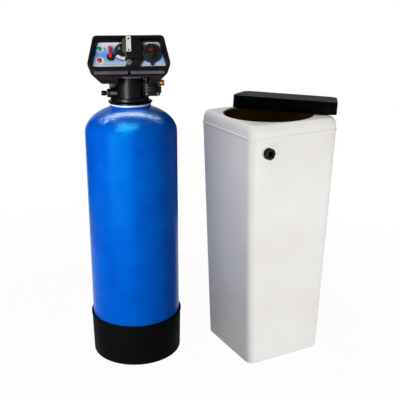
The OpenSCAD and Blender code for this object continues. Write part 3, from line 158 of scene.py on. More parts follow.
def growRings(stations):  # selected edges grow from station to station: (reach, height)
    for (fromReach, fromZ), (toReach, toZ) in zip(stations, stations[1:]):
        bpy.ops.mesh.extrude_edges_move(TRANSFORM_OT_translate={"value": (0, 0, (toZ - fromZ) * mm)})
        share = toReach / fromReach
        bpy.ops.transform.resize(value=(share, share, 1), center_override=(0, 0, toZ * mm))


def turned(name, stations, sides=96, closed=True):
    # a disc or ring that grows station by station: (radius, height) in millimetres
    bpy.ops.object.select_all(action="DESELECT")
    radius, height = stations[0]
    fill = "NGON" if closed else "NOTHING"
    bpy.ops.mesh.primitive_circle_add(
        vertices=sides, radius=radius * mm, fill_type=fill, location=(0, 0, height * mm))
    obj = added(name)
    settle(obj)
    edit(obj)
    growRings(stations)
    if closed:
        bpy.ops.mesh.edge_face_add()
    leave()
    tidyFaces(obj)
    return obj


def arc(centreR, centreZ, radius, rise, start, end, steps):
    # stations along part of an ellipse, angles in degrees
    turns = [math.radians(start + (end - start) * i / steps) for i in range(steps + 1)]
    return [(centreR + radius * math.cos(t), centreZ + rise * math.sin(t)) for t in turns]


# Finishes

def tint(red, green, blue):  # a screen colour, 0 to 255, as the shader takes it
    def line(value):
        share = value / 255
        return share / 12.92 if share <= 0.04045 else ((share + 0.055) / 1.055) ** 2.4
    return line(red), line(green), line(blue), 1.0


def newFinish(name):
    finish = bpy.data.materials.new(name)
    finish.use_nodes = True
    tree = finish.node_tree
    return finish, tree, tree.nodes["Principled BSDF"]


def put(tree, kind, inputs=None, **settings):
    node = tree.nodes.new(kind)
    for key, value in settings.items():
        setattr(node, key, value)
    for key, value in (inputs or {}).items():
        if isinstance(value, bpy.types.NodeSocket):
            tree.links.new(value, node.inputs[key])
        else:
            node.inputs[key].default_value = value
    return node


def maths(tree, operation, first, second=0.0, third=0.0):
    node = put(tree, "ShaderNodeMath", {0: first, 1: second, 2: third}, operation=operation)
    return node.outputs[0]


def ramp(tree, factor, stops):
    node = put(tree, "ShaderNodeValToRGB", {"Fac": factor})
    elements = node.color_ramp.elements
    while len(elements) < len(stops):
        elements.new(0.5)
    for element, (place, colour) in zip(elements, stops):
        element.position = place
        element.color = colour
    return node.outputs["Color"]


def noise(tree, place, scale, detail):
    node = put(tree, "ShaderNodeTexNoise", {"Vector": place, "Scale": scale, "Detail": detail})
    return node.outputs["Fac"]


def spread(tree, value, low, high):
    node = put(tree, "ShaderNodeMapRange",
               {"Value": value, "From Min": 0.3, "From Max": 0.7, "To Min": low, "To Max": high})
    return node.outputs["Result"]


def relief(tree, shader, height, strength, depth):
    bump = put(tree, "ShaderNodeBump", {"Height": height, "Strength": strength, "Distance": depth})
    tree.links.new(bump.outputs["Normal"], shader.inputs["Normal"])


def moulded(name, dark, light, look):
    # moulded plastic: cloudy colour, uneven gloss and a fine grain
    finish, tree, shader = newFinish(name)
    place = put(tree, "ShaderNodeTexCoord").outputs["Object"]
    cloud = noise(tree, place, look.get("cloud", 35), 4)
    grain = noise(tree, place, look.get("grain", 1400), 2)
    colour = ramp(tree, cloud, [(0.3, tint(*dark)), (0.7, tint(*light))])
    tree.links.new(colour, shader.inputs["Base Color"])
    gloss = spread(tree, cloud, *look.get("rough", (0.35, 0.45)))
    tree.links.new(gloss, shader.inputs["Roughness"])
    shader.inputs["Specular IOR Level"].default_value = look.get("specular", 0.4)
    shader.inputs["Coat Weight"].default_value = look.get("coat", 0.0)
    shader.inputs["Coat Roughness"].default_value = 0.2
    relief(tree, shader, grain, look.get("bump", 0.15), 0.0002)
    return finish


def metal(name, dark, light, rough):
    finish, tree, shader = newFinish(name)
    place = put(tree, "ShaderNodeTexCoord").outputs["Object"]
    cloud = noise(tree, place, 160, 4)
    brushed = put(tree, "ShaderNodeMapping", {"Vector": place, "Scale": (2600, 300, 2600)})
    lines = noise(tree, brushed.outputs["Vector"], 1.0, 2)
    colour = ramp(tree, cloud, [(0.3, tint(*dark)), (0.7, tint(*light))])
    tree.links.new(colour, shader.inputs["Base Color"])
    shader.inputs["Metallic"].default_value = 1.0
    tree.links.new(spread(tree, lines, *rough), shader.inputs["Roughness"])
    relief(tree, shader, lines, 0.12, 0.0001)
    return finish


def pebbles(name, dark, light, size, rough):
    # beads or stones, one cell each
    finish, tree, shader = newFinish(name)
    place = put(tree, "ShaderNodeTexCoord").outputs["Object"]
    cells = put(tree, "ShaderNodeTexVoronoi", {"Vector": place, "Scale": 1 / size})
    tone = put(tree, "ShaderNodeSeparateColor", {"Color": cells.outputs["Color"]})
    colour = ramp(tree, tone.outputs[0], [(0.0, tint(*dark)), (1.0, tint(*light))])
    tree.links.new(colour, shader.inputs["Base Color"])
    shader.inputs["Roughness"].default_value = rough
    domed = maths(tree, "SUBTRACT", 1.0, cells.outputs["Distance"])
    relief(tree, shader, domed, 0.8, size * 0.5)
    return finish


def gelcoat(name, look):
    # blue shell wound from glass fibre: hoops and crossing windings under gloss
    finish, tree, shader = newFinish(name)
    place = put(tree, "ShaderNodeTexCoord").outputs["Object"]
    axes = put(tree, "ShaderNodeSeparateXYZ", {"Vector": place}).outputs
    behind = maths(tree, "MULTIPLY", axes["Y"], -1.0)
    turn = maths(tree, "ARCTAN2", axes["X"], behind)
    stray = noise(tree, place, 60, 3)
    height = maths(tree, "MULTIPLY_ADD", stray, look["stray"], axes["Z"])
    hoops = maths(tree, "SINE", maths(tree, "MULTIPLY", height, look["hoops"]))
    strands = maths(tree, "MULTIPLY", turn, look["strands"])
    climb = maths(tree, "MULTIPLY", height, look["climb"])
    leftWind = maths(tree, "SINE", maths(tree, "ADD", strands, climb))
    rightWind = maths(tree, "SINE", maths(tree, "SUBTRACT", strands, climb))
    crossed = maths(tree, "MAXIMUM", leftWind, rightWind)
    fine = noise(tree, place, 420, 3)
    crossing = maths(tree, "MULTIPLY", crossed, look["crossDepth"])
    woven = maths(tree, "MULTIPLY_ADD", hoops, look["hoopDepth"], crossing)
    layered = maths(tree, "MULTIPLY_ADD", fine, look["fineDepth"], woven)
    cloud = noise(tree, place, 16, 4)
    tone = maths(tree, "MULTIPLY_ADD", layered, look["toneShare"], cloud)
    colour = ramp(tree, tone, [(0.3, tint(*look["deep"])), (0.75, tint(*look["clear"]))])
    tree.links.new(colour, shader.inputs["Base Color"])
    tree.links.new(spread(tree, fine, *look["rough"]), shader.inputs["Roughness"])
    shader.inputs["Specular IOR Level"].default_value = look["specular"]
    shader.inputs["Specular Tint"].default_value = tint(*look["sheen"])
    relief(tree, shader, layered, look["bump"], 0.0004)
    return finish


def facePrint(name, node, look):
    # printed panel: pale at the top and bottom edges, blue across its middle
    finish, tree, shader = newFinish(name)
    low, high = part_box(node)
    place = put(tree, "ShaderNodeTexCoord").outputs["Object"]
    axes = put(tree, "ShaderNodeSeparateXYZ", {"Vector": place}).outputs
    rise = put(tree, "ShaderNodeMapRange",
               {"Value": axes["Z"], "From Min": low.z, "From Max": high.z}).outputs["Result"]
    cloud = noise(tree, place, 45, 2)
    soft = maths(tree, "MULTIPLY_ADD", cloud, look["cloudShare"], rise)
    stops = [(share, tint(*colour)) for share, colour in look["stops"]]
    tree.links.new(ramp(tree, soft, stops), shader.inputs["Base Color"])
    grain = noise(tree, place, 1500, 2)
    tree.links.new(spread(tree, grain, *look["rough"]), shader.inputs["Roughness"])
    shader.inputs["Specular IOR Level"].default_value = look["specular"]
    relief(tree, shader, grain, 0.06, 0.0002)
    return finish


def chequered(name, look):
    # knurled top: small bright and dark squares paint the highlight and shade of its facets, over a bump
    finish, tree, shader = newFinish(name)
    place = put(tree, "ShaderNodeTexCoord").outputs["Object"]
    squares = put(tree, "ShaderNodeTexChecker",
                  {"Vector": place, "Scale": 1 / look["square"],
                   "Color1": tint(*look["bright"]), "Color2": tint(*look["dark"])})
    tree.links.new(squares.outputs["Color"], shader.inputs["Base Color"])
    shader.inputs["Specular IOR Level"].default_value = look["specular"]
    grain = noise(tree, place, 1800, 2)
    tree.links.new(spread(tree, grain, *look["rough"]), shader.inputs["Roughness"])
    relief(tree, shader, squares.outputs["Fac"], 0.4, 0.0004)
    return finish


blueShell = gelcoat("blueShell", {
    "deep": (0, 88, 210), "clear": (0, 108, 228), "sheen": (0, 235, 255),
    "hoops": 1500.0, "strands": 84.0, "climb": 640.0, "stray": 0.006, "hoopDepth": 0.55, "crossDepth": 0.6,
    "fineDepth": 1.1, "toneShare": 0.05, "bump": 0.3, "rough": (0.17, 0.24), "specular": 0.04})
blackBoot = moulded("blackBoot", (4, 5, 6), (9, 10, 12),
                    {"rough": (0.55, 0.68), "specular": 0.02, "bump": 0.25, "grain": 900})
blackValve = moulded("blackValve", (7, 7, 6), (13, 13, 12),
                     {"rough": (0.3, 0.42), "specular": 0.08, "bump": 0.12})
blackHead = moulded("blackHead", (9, 9, 12), (16, 16, 20),
                    {"rough": (0.3, 0.4), "specular": 0.07, "bump": 0.14, "grain": 1800})
brownBlack = moulded("brownBlack", (34, 27, 24), (46, 38, 33),
                     {"rough": (0.4, 0.5), "specular": 0.07, "bump": 0.14, "grain": 1800})
# lighter grey for the black lid's upward faces: a painted sheen of light from above
paintedSheenTop = moulded("paintedSheenTop", (74, 74, 71), (96, 95, 91),
                  {"rough": (0.5, 0.6), "specular": 0.1, "bump": 0.22, "grain": 1100})
blackLid = moulded("blackLid", (3, 3, 3), (7, 7, 7),
                   {"rough": (0.42, 0.52), "specular": 0.01, "bump": 0.22, "grain": 1100})
blackDial = moulded("blackDial", (10, 10, 11), (18, 18, 20),
                    {"rough": (0.32, 0.42), "specular": 0.08, "bump": 0.08})
# grey for the cover's left flank: painted light where the flank faces the lamp on the left
paintedLitFlank = moulded("paintedLitFlank", (66, 65, 62), (82, 80, 76),
                    {"rough": (0.4, 0.5), "specular": 0.1, "bump": 0.12})
darkSteel = metal("darkSteel", (34, 34, 36), (58, 58, 60), (0.35, 0.5))
greyPlate = moulded("greyPlate", (70, 70, 68), (88, 87, 84), {"rough": (0.35, 0.5)})
whiteTank = moulded("whiteTank", (232, 229, 225), (240, 238, 235),
                    {"cloud": 9, "rough": (0.38, 0.5), "specular": 0.35, "bump": 0.1, "grain": 500})
# olive-brown inner skin: painted shade for the inside of the white tank under its lid
paintedShadeInside = moulded("paintedShadeInside", (138, 108, 50), (168, 132, 60),
                     {"cloud": 14, "rough": (0.6, 0.75), "specular": 0.1, "bump": 0.2, "grain": 500})
whiteRing = moulded("whiteRing", (226, 228, 232), (242, 244, 246), {"rough": (0.3, 0.4)})
palePlastic = moulded("palePlastic", (214, 214, 210), (232, 231, 228), {"rough": (0.4, 0.5)})
ivoryPrint = moulded("ivoryPrint", (222, 219, 212), (238, 236, 231), {"rough": (0.3, 0.45)})
redPlastic = moulded("redPlastic", (184, 8, 26), (214, 16, 36),
                     {"rough": (0.25, 0.35), "specular": 0.2, "coat": 0.05})
greenPlastic = moulded("greenPlastic", (0, 136, 92), (6, 164, 112),
                       {"rough": (0.25, 0.35), "specular": 0.25, "coat": 0.05})
purplePrint = moulded("purplePrint", (48, 18, 66), (72, 30, 88), {"rough": (0.4, 0.5), "specular": 0.1})
inkPrint = moulded("inkPrint", (22, 28, 38), (38, 44, 54), {"rough": (0.4, 0.5), "specular": 0.1})
greyPrint = moulded("greyPrint", (96, 98, 98), (124, 126, 126), {"rough": (0.4, 0.5), "specular": 0.1})
redPrint = moulded("redPrint", (116, 16, 24), (140, 26, 32), {"rough": (0.3, 0.4), "specular": 0.1})
greenPrint = moulded("greenPrint", (18, 46, 12), (28, 62, 20), {"rough": (0.3, 0.4), "specular": 0.1})
leafPrint = moulded("leafPrint", (58, 138, 66), (84, 164, 88), {"rough": (0.3, 0.4), "specular": 0.2})
rosePrint = moulded("rosePrint", (178, 98, 122), (204, 128, 148), {"rough": (0.35, 0.45), "specular": 0.2})
# light grey-purple for the chin strip: a painted reflection on the bezel's lower edge
paintedReflectionBand = moulded("paintedReflectionBand", (92, 82, 90), (112, 100, 108), {"rough": (0.3, 0.42), "specular": 0.2})
yellowBrass = metal("yellowBrass", (124, 84, 40), (168, 120, 64), (0.26, 0.4))
plainSteel = metal("plainSteel", (128, 128, 130), (170, 170, 172), (0.26, 0.4))
blackRubber = moulded("blackRubber", (18, 18, 18), (30, 30, 30), {"rough": (0.65, 0.8)})
amberResin = pebbles("amberResin", (150, 92, 28), (214, 150, 60), 0.0012, 0.35)
quartzGravel = pebbles("quartzGravel", (150, 132, 108), (212, 200, 178), 0.004, 0.6)
panelPrint = facePrint("panelPrint", "face_plate", {
    "rough": (0.3, 0.42), "specular": 0.35, "cloudShare": 0.06,
    "stops": [(0.06, (252, 253, 254)), (0.18, (234, 242, 252)), (0.36, (142, 194, 250)),
              (0.56, (92, 160, 248)), (0.76, (138, 192, 248)), (0.9, (232, 241, 252))]})
# bright squares are painted highlight, dark squares painted shade of the knurl
knurlPaintedLight = chequered("knurlPaintedLight", {
    "square": 0.0024, "bright": (168, 167, 162), "dark": (8, 8, 8), "rough": (0.35, 0.5), "specular": 0.1})
print("finishes ready:", len(bpy.data.materials))


# Pressure vessel: one lathe-turned skin with a wall

vesselLow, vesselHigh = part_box("tank_shell")
vessel = {"bottomDome": 50, "topDome": 62, "holeR": 41, "wall": 3.5, "domeSteps": 26,
          "wallSteps": 8, "sides": 144, "poleR": 3, "smoothAngle": 40}


def makeVessel():
    radius = vesselHigh.x / mm
    baseZ = vesselLow.z / mm
    topZ = vesselHigh.z / mm
    lowZ = baseZ + vessel["bottomDome"]
    holeTurn = math.degrees(math.acos(vessel["holeR"] / radius))
    highZ = topZ - vessel["topDome"] * math.sin(math.radians(holeTurn))
    poleTurn = -math.degrees(math.acos(vessel["poleR"] / radius))
    steps = vessel["domeSteps"]
    stations = arc(0, lowZ, radius, vessel["bottomDome"], poleTurn, 0, steps)
    stations += [(radius, lowZ + (highZ - lowZ) * i / vessel["wallSteps"])
                 for i in range(1, vessel["wallSteps"])]
    stations += arc(0, highZ, radius, vessel["topDome"], 0, holeTurn, steps)
    shell = turned("vesselShell", stations, vessel["sides"], closed=False)
    edit(shell)
    pick(shell, "EDGE", lambda e: e.is_boundary and middle(e).z < lowZ * mm)
    bpy.ops.mesh.edge_face_add()
    bpy.ops.mesh.select_all(action="SELECT")
    bpy.ops.mesh.normals_make_consistent(inside=False)
    leave()
    applied(shell, "SOLIDIFY", thickness=vessel["wall"] * mm, offset=-1)
    smooth(shell, vessel["smoothAngle"])
    fit(shell, blueShell, "softener", ["tank_shell"])


collar = {"edge": 1.0, "edgeSteps": 4, "bandDrop": 4.2, "bandStep": 0.8, "bandSlope": 0.6, "bandDepth": 3,
          "boreR": 31.5, "holeGap": 0.3, "seatDrop": 0.2}


def makeCollar():
    low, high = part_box("neck_collar")
    radius, top = high.x / mm, high.z / mm
    seat = vesselHigh.z / mm
    edge, bore, steps = collar["edge"], collar["boreR"], collar["edgeSteps"]
    plugR = vessel["holeR"] - collar["holeGap"]
    bandZ = top - collar["bandDrop"]
    topR = radius - collar["bandStep"]
    stations = [(bore, low.z / mm), (plugR, low.z / mm), (plugR, seat - collar["seatDrop"]),
                (radius - edge, seat)]
    stations += arc(radius - edge, seat + edge, edge, edge, -90, 0, steps)
    stations += [(radius, bandZ), (topR, bandZ + collar["bandSlope"]), (topR, top - edge)]
    stations += arc(topR - edge, top - edge, edge, edge, 0, 90, steps)
    stations += [(bore, top), (bore, low.z / mm)]
    ring = turned("neckCollar", stations, closed=False)
    ring.data.materials.append(whiteRing)
    ring.data.materials.append(blueShell)
    for side in ring.data.polygons:  # lower band is wound in with the shell
        outside = math.hypot(side.center.x, side.center.y) > (radius - collar["bandDepth"]) * mm
        side.material_index = int(outside and side.center.z < bandZ * mm)
    smooth(ring)
    fit(ring, None, "softener", ["neck_collar"])


boot = {"wall": 3, "footRound": 4, "footSteps": 6, "footIn": 1.7, "lipOut": 1.3, "lipH": 5, "lipStep": 1,
        "lipRound": 1.2, "lipSteps": 4, "gap": 0.2, "innerEdge": 0.6, "innerFootZ": 57, "floorT": 4,
        "floorRise": 2, "poleR": 2, "sides": 144}


def makeBoot():
    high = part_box("tank_boot")[1]
    rimR, top = high.x / mm - boot["lipOut"], high.z / mm
    inR = vesselHigh.x / mm + boot["gap"]
    footR = rimR - boot["footIn"]
    lipR, lipZ = rimR + boot["lipOut"], top - boot["lipH"]
    curve, lip, edge = boot["footRound"], boot["lipRound"], boot["innerEdge"]
    stations = [(boot["poleR"], 0)] + arc(footR - curve, curve, curve, curve, -90, 0, boot["footSteps"])
    stations += [(rimR, lipZ - boot["lipStep"]), (lipR, lipZ)]
    stations += arc(lipR - lip, top - lip, lip, lip, 0, 90, boot["lipSteps"])
    stations += [(inR + edge, top), (inR, top - edge), (inR, boot["innerFootZ"])]
    stations += [(footR - boot["wall"] - curve, boot["floorT"] + boot["floorRise"]),
                 (boot["poleR"], boot["floorT"])]
    skirt = turned("tankBoot", stations, boot["sides"])
    smooth(skirt)
    fit(skirt, blackBoot, "softener", ["tank_boot"])


makeVessel()
makeCollar()
makeBoot()
print("vessel, collar and boot modelled")


# Brine tank: a rounded square that grows ring by ring, then a round mouth

tank = {"middleX": 309, "turn": 22.6, "floorHalf": 99, "rimHalf": 114, "rimZ": 540, "deckZ": 568,
        "cornerR": 20, "cornerSteps": 8, "footRound": 6, "footSteps": 5, "wall": 4, "wallSteps": 10,
        "sideCuts": 6, "bead": 1.2, "beadH": 2.4, "beadShare": 0.7, "beadTopIn": 0.4, "shoulderIn": 0.9,
        "shoulderW": 9.5, "shoulderH": 17, "shoulderSteps": 8, "mouthR": 102, "mouthSides": 96, "lip": 1,
        "lipSteps": 4, "hoseHoleR": 8.5, "hoseHoleReach": 30, "smoothAngle": 40}


def squareRing(name, half, cornerR, height, cornerSteps, sideCuts):
    # a square outline with rounded corners, standing on its own as a loop of edges
    bpy.ops.object.select_all(action="DESELECT")
    bpy.ops.mesh.primitive_plane_add(size=2 * half * mm, location=(0, 0, height * mm))
    obj = added(name)
    settle(obj)
    edit(obj)
    bpy.ops.mesh.bevel(offset=cornerR * mm, segments=cornerSteps, affect="VERTICES")
    pick(obj, "EDGE", lambda e: e.calc_length() > half * mm)
    bpy.ops.mesh.subdivide(number_cuts=sideCuts)
    bpy.ops.mesh.select_all(action="SELECT")
    bpy.ops.mesh.delete(type="ONLY_FACE")
    bpy.ops.mesh.select_all(action="SELECT")
    return obj


def addMouth(obj, radius, height, sides, slack=0.5):
    # a circle bridged to the boundary at the same level
    bpy.ops.mesh.select_all(action="DESELECT")
    bpy.ops.mesh.primitive_circle_add(vertices=sides, radius=radius * mm, location=(0, 0, height * mm))
    pick(obj, "EDGE", lambda e: (e.is_boundary or e.is_wire) and middle(e).z > (height - slack) * mm)
    bpy.ops.mesh.bridge_edge_loops()


def atMount(mount):  # a piece made upright is turned to a mount's axis
    turn = Vector(mount["axis"]).to_track_quat("Z", "Y").to_matrix().to_4x4()
    return Matrix.Translation(Vector(mount["pos_m"])) @ turn


def drill(obj, mount, radius, reach):  # a round hole along a mount's axis
    bpy.ops.object.select_all(action="DESELECT")
    bpy.ops.mesh.primitive_cylinder_add(vertices=48, radius=radius * mm, depth=2 * reach * mm)
    bit = added("drillBit")
    stand(bit, atMount(mount))
    applied(obj, "BOOLEAN", object=bit, operation="DIFFERENCE", solver="EXACT")
    bpy.data.objects.remove(bit)


def makeTank():
    foot, lip, rim = tank["footRound"], tank["lip"], tank["rimHalf"]
    rimZ, deckZ, beadH, mouthR = tank["rimZ"], tank["deckZ"], tank["beadH"], tank["mouthR"]
    lean = (rim - tank["floorHalf"]) / rimZ
    skin = squareRing("brineTank", tank["floorHalf"] - foot, tank["cornerR"] - foot / 2, 0,
                      tank["cornerSteps"], tank["sideCuts"])
    stations = arc(tank["floorHalf"] - foot, foot, foot, foot, -90, 0, tank["footSteps"])
    walls = [foot + (rimZ - beadH - foot) * i / tank["wallSteps"] for i in range(1, tank["wallSteps"] + 1)]
    stations += [(tank["floorHalf"] + lean * z, z) for z in walls]
    flankHalf, flankH = rim + tank["bead"] * tank["beadShare"], beadH * tank["beadShare"]
    stations += [(flankHalf, rimZ - flankH), (rim + tank["bead"], rimZ), (flankHalf, rimZ + flankH),
                 (rim - tank["beadTopIn"], rimZ + beadH)]
    stations += arc(rim - tank["shoulderIn"] - tank["shoulderW"], deckZ - tank["shoulderH"],
                    tank["shoulderW"], tank["shoulderH"], 0, 90, tank["shoulderSteps"])
    growRings(stations)
    addMouth(skin, mouthR + lip, deckZ, tank["mouthSides"])
    pick(skin, "EDGE", lambda e: e.is_boundary and middle(e).z > (deckZ - lip) * mm)
    mouth = arc(mouthR + lip, deckZ - lip, lip, lip, 90, 180, tank["lipSteps"])
    mouth += [(mouthR, deckZ - tank["wall"])]
    growRings(mouth)
    pick(skin, "EDGE", lambda e: e.is_boundary and middle(e).z < foot * mm)
    bpy.ops.mesh.edge_face_add()
    bpy.ops.mesh.select_all(action="SELECT")
    bpy.ops.mesh.normals_make_consistent(inside=False)
    leave()
    skin.data.materials.append(whiteTank)
    # the wall's inner side takes the second finish, the painted shade inside
    skin.data.materials.append(paintedShadeInside)
    applied(skin, "SOLIDIFY", thickness=tank["wall"] * mm, offset=-1, material_offset=1)
    place = Matrix.Translation((tank["middleX"] * mm, 0, 0))
    stand(skin, place @ Matrix.Rotation(math.radians(tank["turn"]), 4, "Z"))
    drill(skin, mounts["overflow_bore"], tank["hoseHoleR"], tank["hoseHoleReach"])
    smooth(skin, tank["smoothAngle"])
    fit(skin, None, "softener", ["brine_tank"])


makeTank()
print("brine tank modelled")


# Pieces that keep their solid's form and get softened edges

softening = {"merge": 2e-6, "flatAngle": 0.6, "sharpAngle": 35, "segments": 2, "smoothAngle": 38}


def softened(node, finish, edge, body="softener"):
    piece = bpy.data.objects.new(node + "_dressed", nodes[node].data.copy())
    bpy.context.scene.collection.objects.link(piece)
    edit(piece)
    bpy.ops.mesh.customdata_custom_splitnormals_clear()
    bpy.ops.mesh.remove_doubles(threshold=softening["merge"])
    bpy.ops.mesh.dissolve_limited(angle_limit=math.radians(softening["flatAngle"]))
    leave()
    if edge:
        applied(piece, "BEVEL", width=edge * mm, segments=softening["segments"], limit_method="ANGLE",
                angle_limit=math.radians(softening["sharpAngle"]), use_clamp_overlap=True)
    smooth(piece, softening["smoothAngle"])
    return fit(piece, finish, body, [node])


dressed = [
    ("valve_body", blackValve, "black_plastic", 0.7),
    ("injector_body", blackValve, "black_plastic", 0.7),
    ("injector_cover", blackValve, "black_plastic", 0.4),
    ("brine_valve_cap", blackValve, "black_plastic", 0.6),
    ("drain_fitting", blackValve, "black_plastic", 0.5),
    ("brine_fitting", yellowBrass, "brass", 0.4),
    ("port_retainer", blackValve, "black_plastic", 0.5),
    ("head_plate", greyPlate, "pale_plastic", 0.5),
    ("rear_housing", brownBlack, "black_plastic", 0.9),
    ("front_bezel", blackHead, "black_plastic", 0.9),
    ("centre_cover", blackHead, "black_plastic", 0.8),
    ("face_plate", panelPrint, "face_blue", 0.2),
    ("index_strip", ivoryPrint, "ivory_plastic", 0.25),
    ("strip_screws", inkPrint, "steel", 0.3),
    ("dial_scale", ivoryPrint, "ivory_plastic", 0.2),
    ("selector_boss", blackDial, "black_plastic", 0.6),
    ("green_lamp", greenPlastic, "green_plastic", 0.9),
    ("red_lamp", redPlastic, "red_plastic", 0.9),
    ("valve_screws", darkSteel, "steel", 0.4),
    ("overflow_fitting", blackHead, "black_plastic", 1.2),
    ("inlet_nipple", blackValve, "black_plastic", 0.5),
    ("outlet_nipple", blackValve, "black_plastic", 0.5),
]
movingDressed = [
    ("brine_lid", blackLid, "black_plastic", 0.8, "lid"),
    ("time_dial", blackDial, "black_plastic", 0.6, "time_dial"),
    ("program_wheel", blackDial, "black_plastic", 0.5, "program_wheel"),
    ("regen_knob", knurlPaintedLight, "steel", 0.5, "regen_knob"),
    ("selector_lever", redPlastic, "red_plastic", 0.8, "selector"),
]
for node, finish, slot, edge in dressed:
    softened(node, finish, edge)
for node, finish, slot, edge, body in movingDressed:
    softened(node, finish, edge, body)
print("edges softened on", len(dressed) + len(movingDressed), "pieces")


def makeSpring():  # the spring's solid with a mesh of its own; the real spring is pressed together from below as the stem lifts
    coil = softened("brine_spring", plainSteel, edge=0)
    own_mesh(coil)


makeSpring()

paintedLightFaces = {"flankNormal": -0.3, "flankX": -4, "topNormal": 0.6}


def addTone(piece, finish, test):  # a second finish, painted light here, on the faces that pass the test
    mesh = bpy.data.objects[piece].data
    mesh.materials.append(finish)
    for side in mesh.polygons:
        side.material_index = int(test(side))


def onLeftFlank(side):
    return side.normal.x < paintedLightFaces["flankNormal"] and side.center.x < paintedLightFaces["flankX"] * mm


# painted light: the cover's left flank gets a lit grey, the lid's top a painted sheen
addTone("centre_cover_dressed", paintedLitFlank, onLeftFlank)
addTone("brine_lid_dressed", paintedSheenTop, lambda side: side.normal.z > paintedLightFaces["topNormal"])
print("second tones on the cover and the lid")


# Marks and small parts on the leaning face, placed right, up and out from its middle

face = {"dialX": 47.7, "dialV": 5.3, "wheelX": -11.5, "wheelV": 9.0, "lampX": -61.5, "greenV": 16.0,
        "redV": -8.5, "plateN": -16.0, "dialTop": -10.8, "hubTop": -7.3, "scaleTop": -8.6,
        "lowCover": -8.0, "mark": 0.25, "smoothAngle": 30}
dialJoint = joints["time_dial_turn"]
across = Vector((1, 0, 0))
outward = Vector(dialJoint["axis"])
upward = outward.cross(across)
faceMiddle = Vector(dialJoint["pos_m"]) - mm * (
    face["dialX"] * across + face["dialV"] * upward + face["plateN"] * outward)


def onFace(x, v, n, turn=0):
    place = faceMiddle + mm * (x * across + v * upward + n * outward)
    axes = Matrix((across, upward, outward)).transposed().to_4x4()
    return Matrix.Translation(place) @ axes @ Matrix.Rotation(math.radians(turn), 4, "Z")


def thicken(obj, thick):
    applied(obj, "SOLIDIFY", thickness=thick * mm, offset=1)
    return obj


def bar(name, width, length, thick, corner):  # a flat bar with rounded corners
    bpy.ops.object.select_all(action="DESELECT")
    bpy.ops.mesh.primitive_plane_add(size=1)
    obj = added(name)
    obj.scale = (width * mm, length * mm, 1)
    settle(obj)
    edit(obj)
    bpy.ops.mesh.bevel(offset=corner * mm, segments=3, affect="VERTICES")
    leave()
    return thicken(obj, thick)


def sector(name, innerR, outerR, start, end, thick, sides=120):
    # part of a flat ring, angles in degrees from the right-hand side
    bpy.ops.object.select_all(action="DESELECT")
    bpy.ops.mesh.primitive_circle_add(vertices=sides, radius=outerR * mm, fill_type="NGON")
    obj = added(name)
    edit(obj)
    bpy.ops.mesh.inset(thickness=(outerR - innerR) * mm)
    bpy.ops.mesh.delete(type="FACE")
    pick(obj, "FACE", lambda f: not start < math.degrees(math.atan2(*middle(f).yx)) % 360 < end)
    bpy.ops.mesh.delete(type="FACE")
    leave()
    return thicken(obj, thick)


def teardrop(name, radius, tail, tip, drawn, thick):  # a round card drawn out to the right
    bpy.ops.object.select_all(action="DESELECT")
    bpy.ops.mesh.primitive_circle_add(vertices=48, radius=radius * mm, fill_type="NGON")
    obj = added(name)
    edit(obj)
    pick(obj, "VERT", lambda v: v.co.x > drawn * radius * mm)
    bpy.ops.transform.resize(value=(1, tip, 1), center_override=(0, 0, 0))
    bpy.ops.transform.translate(value=(tail * mm, 0, 0))
    leave()
    return thicken(obj, thick)


def numeral(words, size, thick):
    bpy.ops.object.select_all(action="DESELECT")
    bpy.ops.object.text_add()
    obj = bpy.context.object
    obj.data.body = words
    obj.data.size = size * mm
    obj.data.align_x = "CENTER"
    obj.data.align_y = "CENTER"
    obj.data.extrude = thick / 2 * mm
    bpy.ops.object.convert(target="MESH")
    return bpy.context.object


def copied(obj, matrix):
    twin = obj.copy()
    twin.data = obj.data.copy()
    bpy.context.scene.collection.objects.link(twin)
    stand(twin, matrix)
    return twin


def joined(name, parts):
    only(parts[0])
    for part in parts:
        part.select_set(True)
    bpy.ops.object.join()
    return added(name)


def around(piece, name, count, radius, start):  # copies of one piece set in a ring
    turns = [Matrix.Rotation(math.radians(start + 360 * i / count), 4, "Z") for i in range(count)]
    reach = Matrix.Translation((radius * mm, 0, 0))
    ring = joined(name, [copied(piece, turn @ reach) for turn in turns])
    bpy.data.objects.remove(piece)
    return ring


def numeralRing(name, words, radius, size, thick):  # upright figures, clockwise from the top
    parts = []
    for i, word in enumerate(words):
        turn = math.radians(90 - 360 * i / len(words))
        figure = numeral(word, size, thick)
        stand(figure, Matrix.Translation((radius * math.cos(turn) * mm, radius * math.sin(turn) * mm, 0)))
        parts.append(figure)
    return joined(name, parts)


def mark(obj, finish, place, body="softener"):
    stand(obj, place)
    smooth(obj, face["smoothAngle"])
    return fit(obj, finish, body)


timeDial = {"red": (66, 138), "green": (206, 280), "hubR": (3.2, 7.7), "ringR": (8.3, 11.6),
            "ticks": 24, "tickR": 18.2, "tickStart": 7.5, "tickSize": (2.2, 0.6), "tickCorner": 0.15,
            "hours": (12, 2, 4, 6, 8, 10), "figureR": 15.2, "figure": 2.5,
            "slotSize": (1.4, 9.0), "slotCorner": 0.3, "slotTurn": 35}


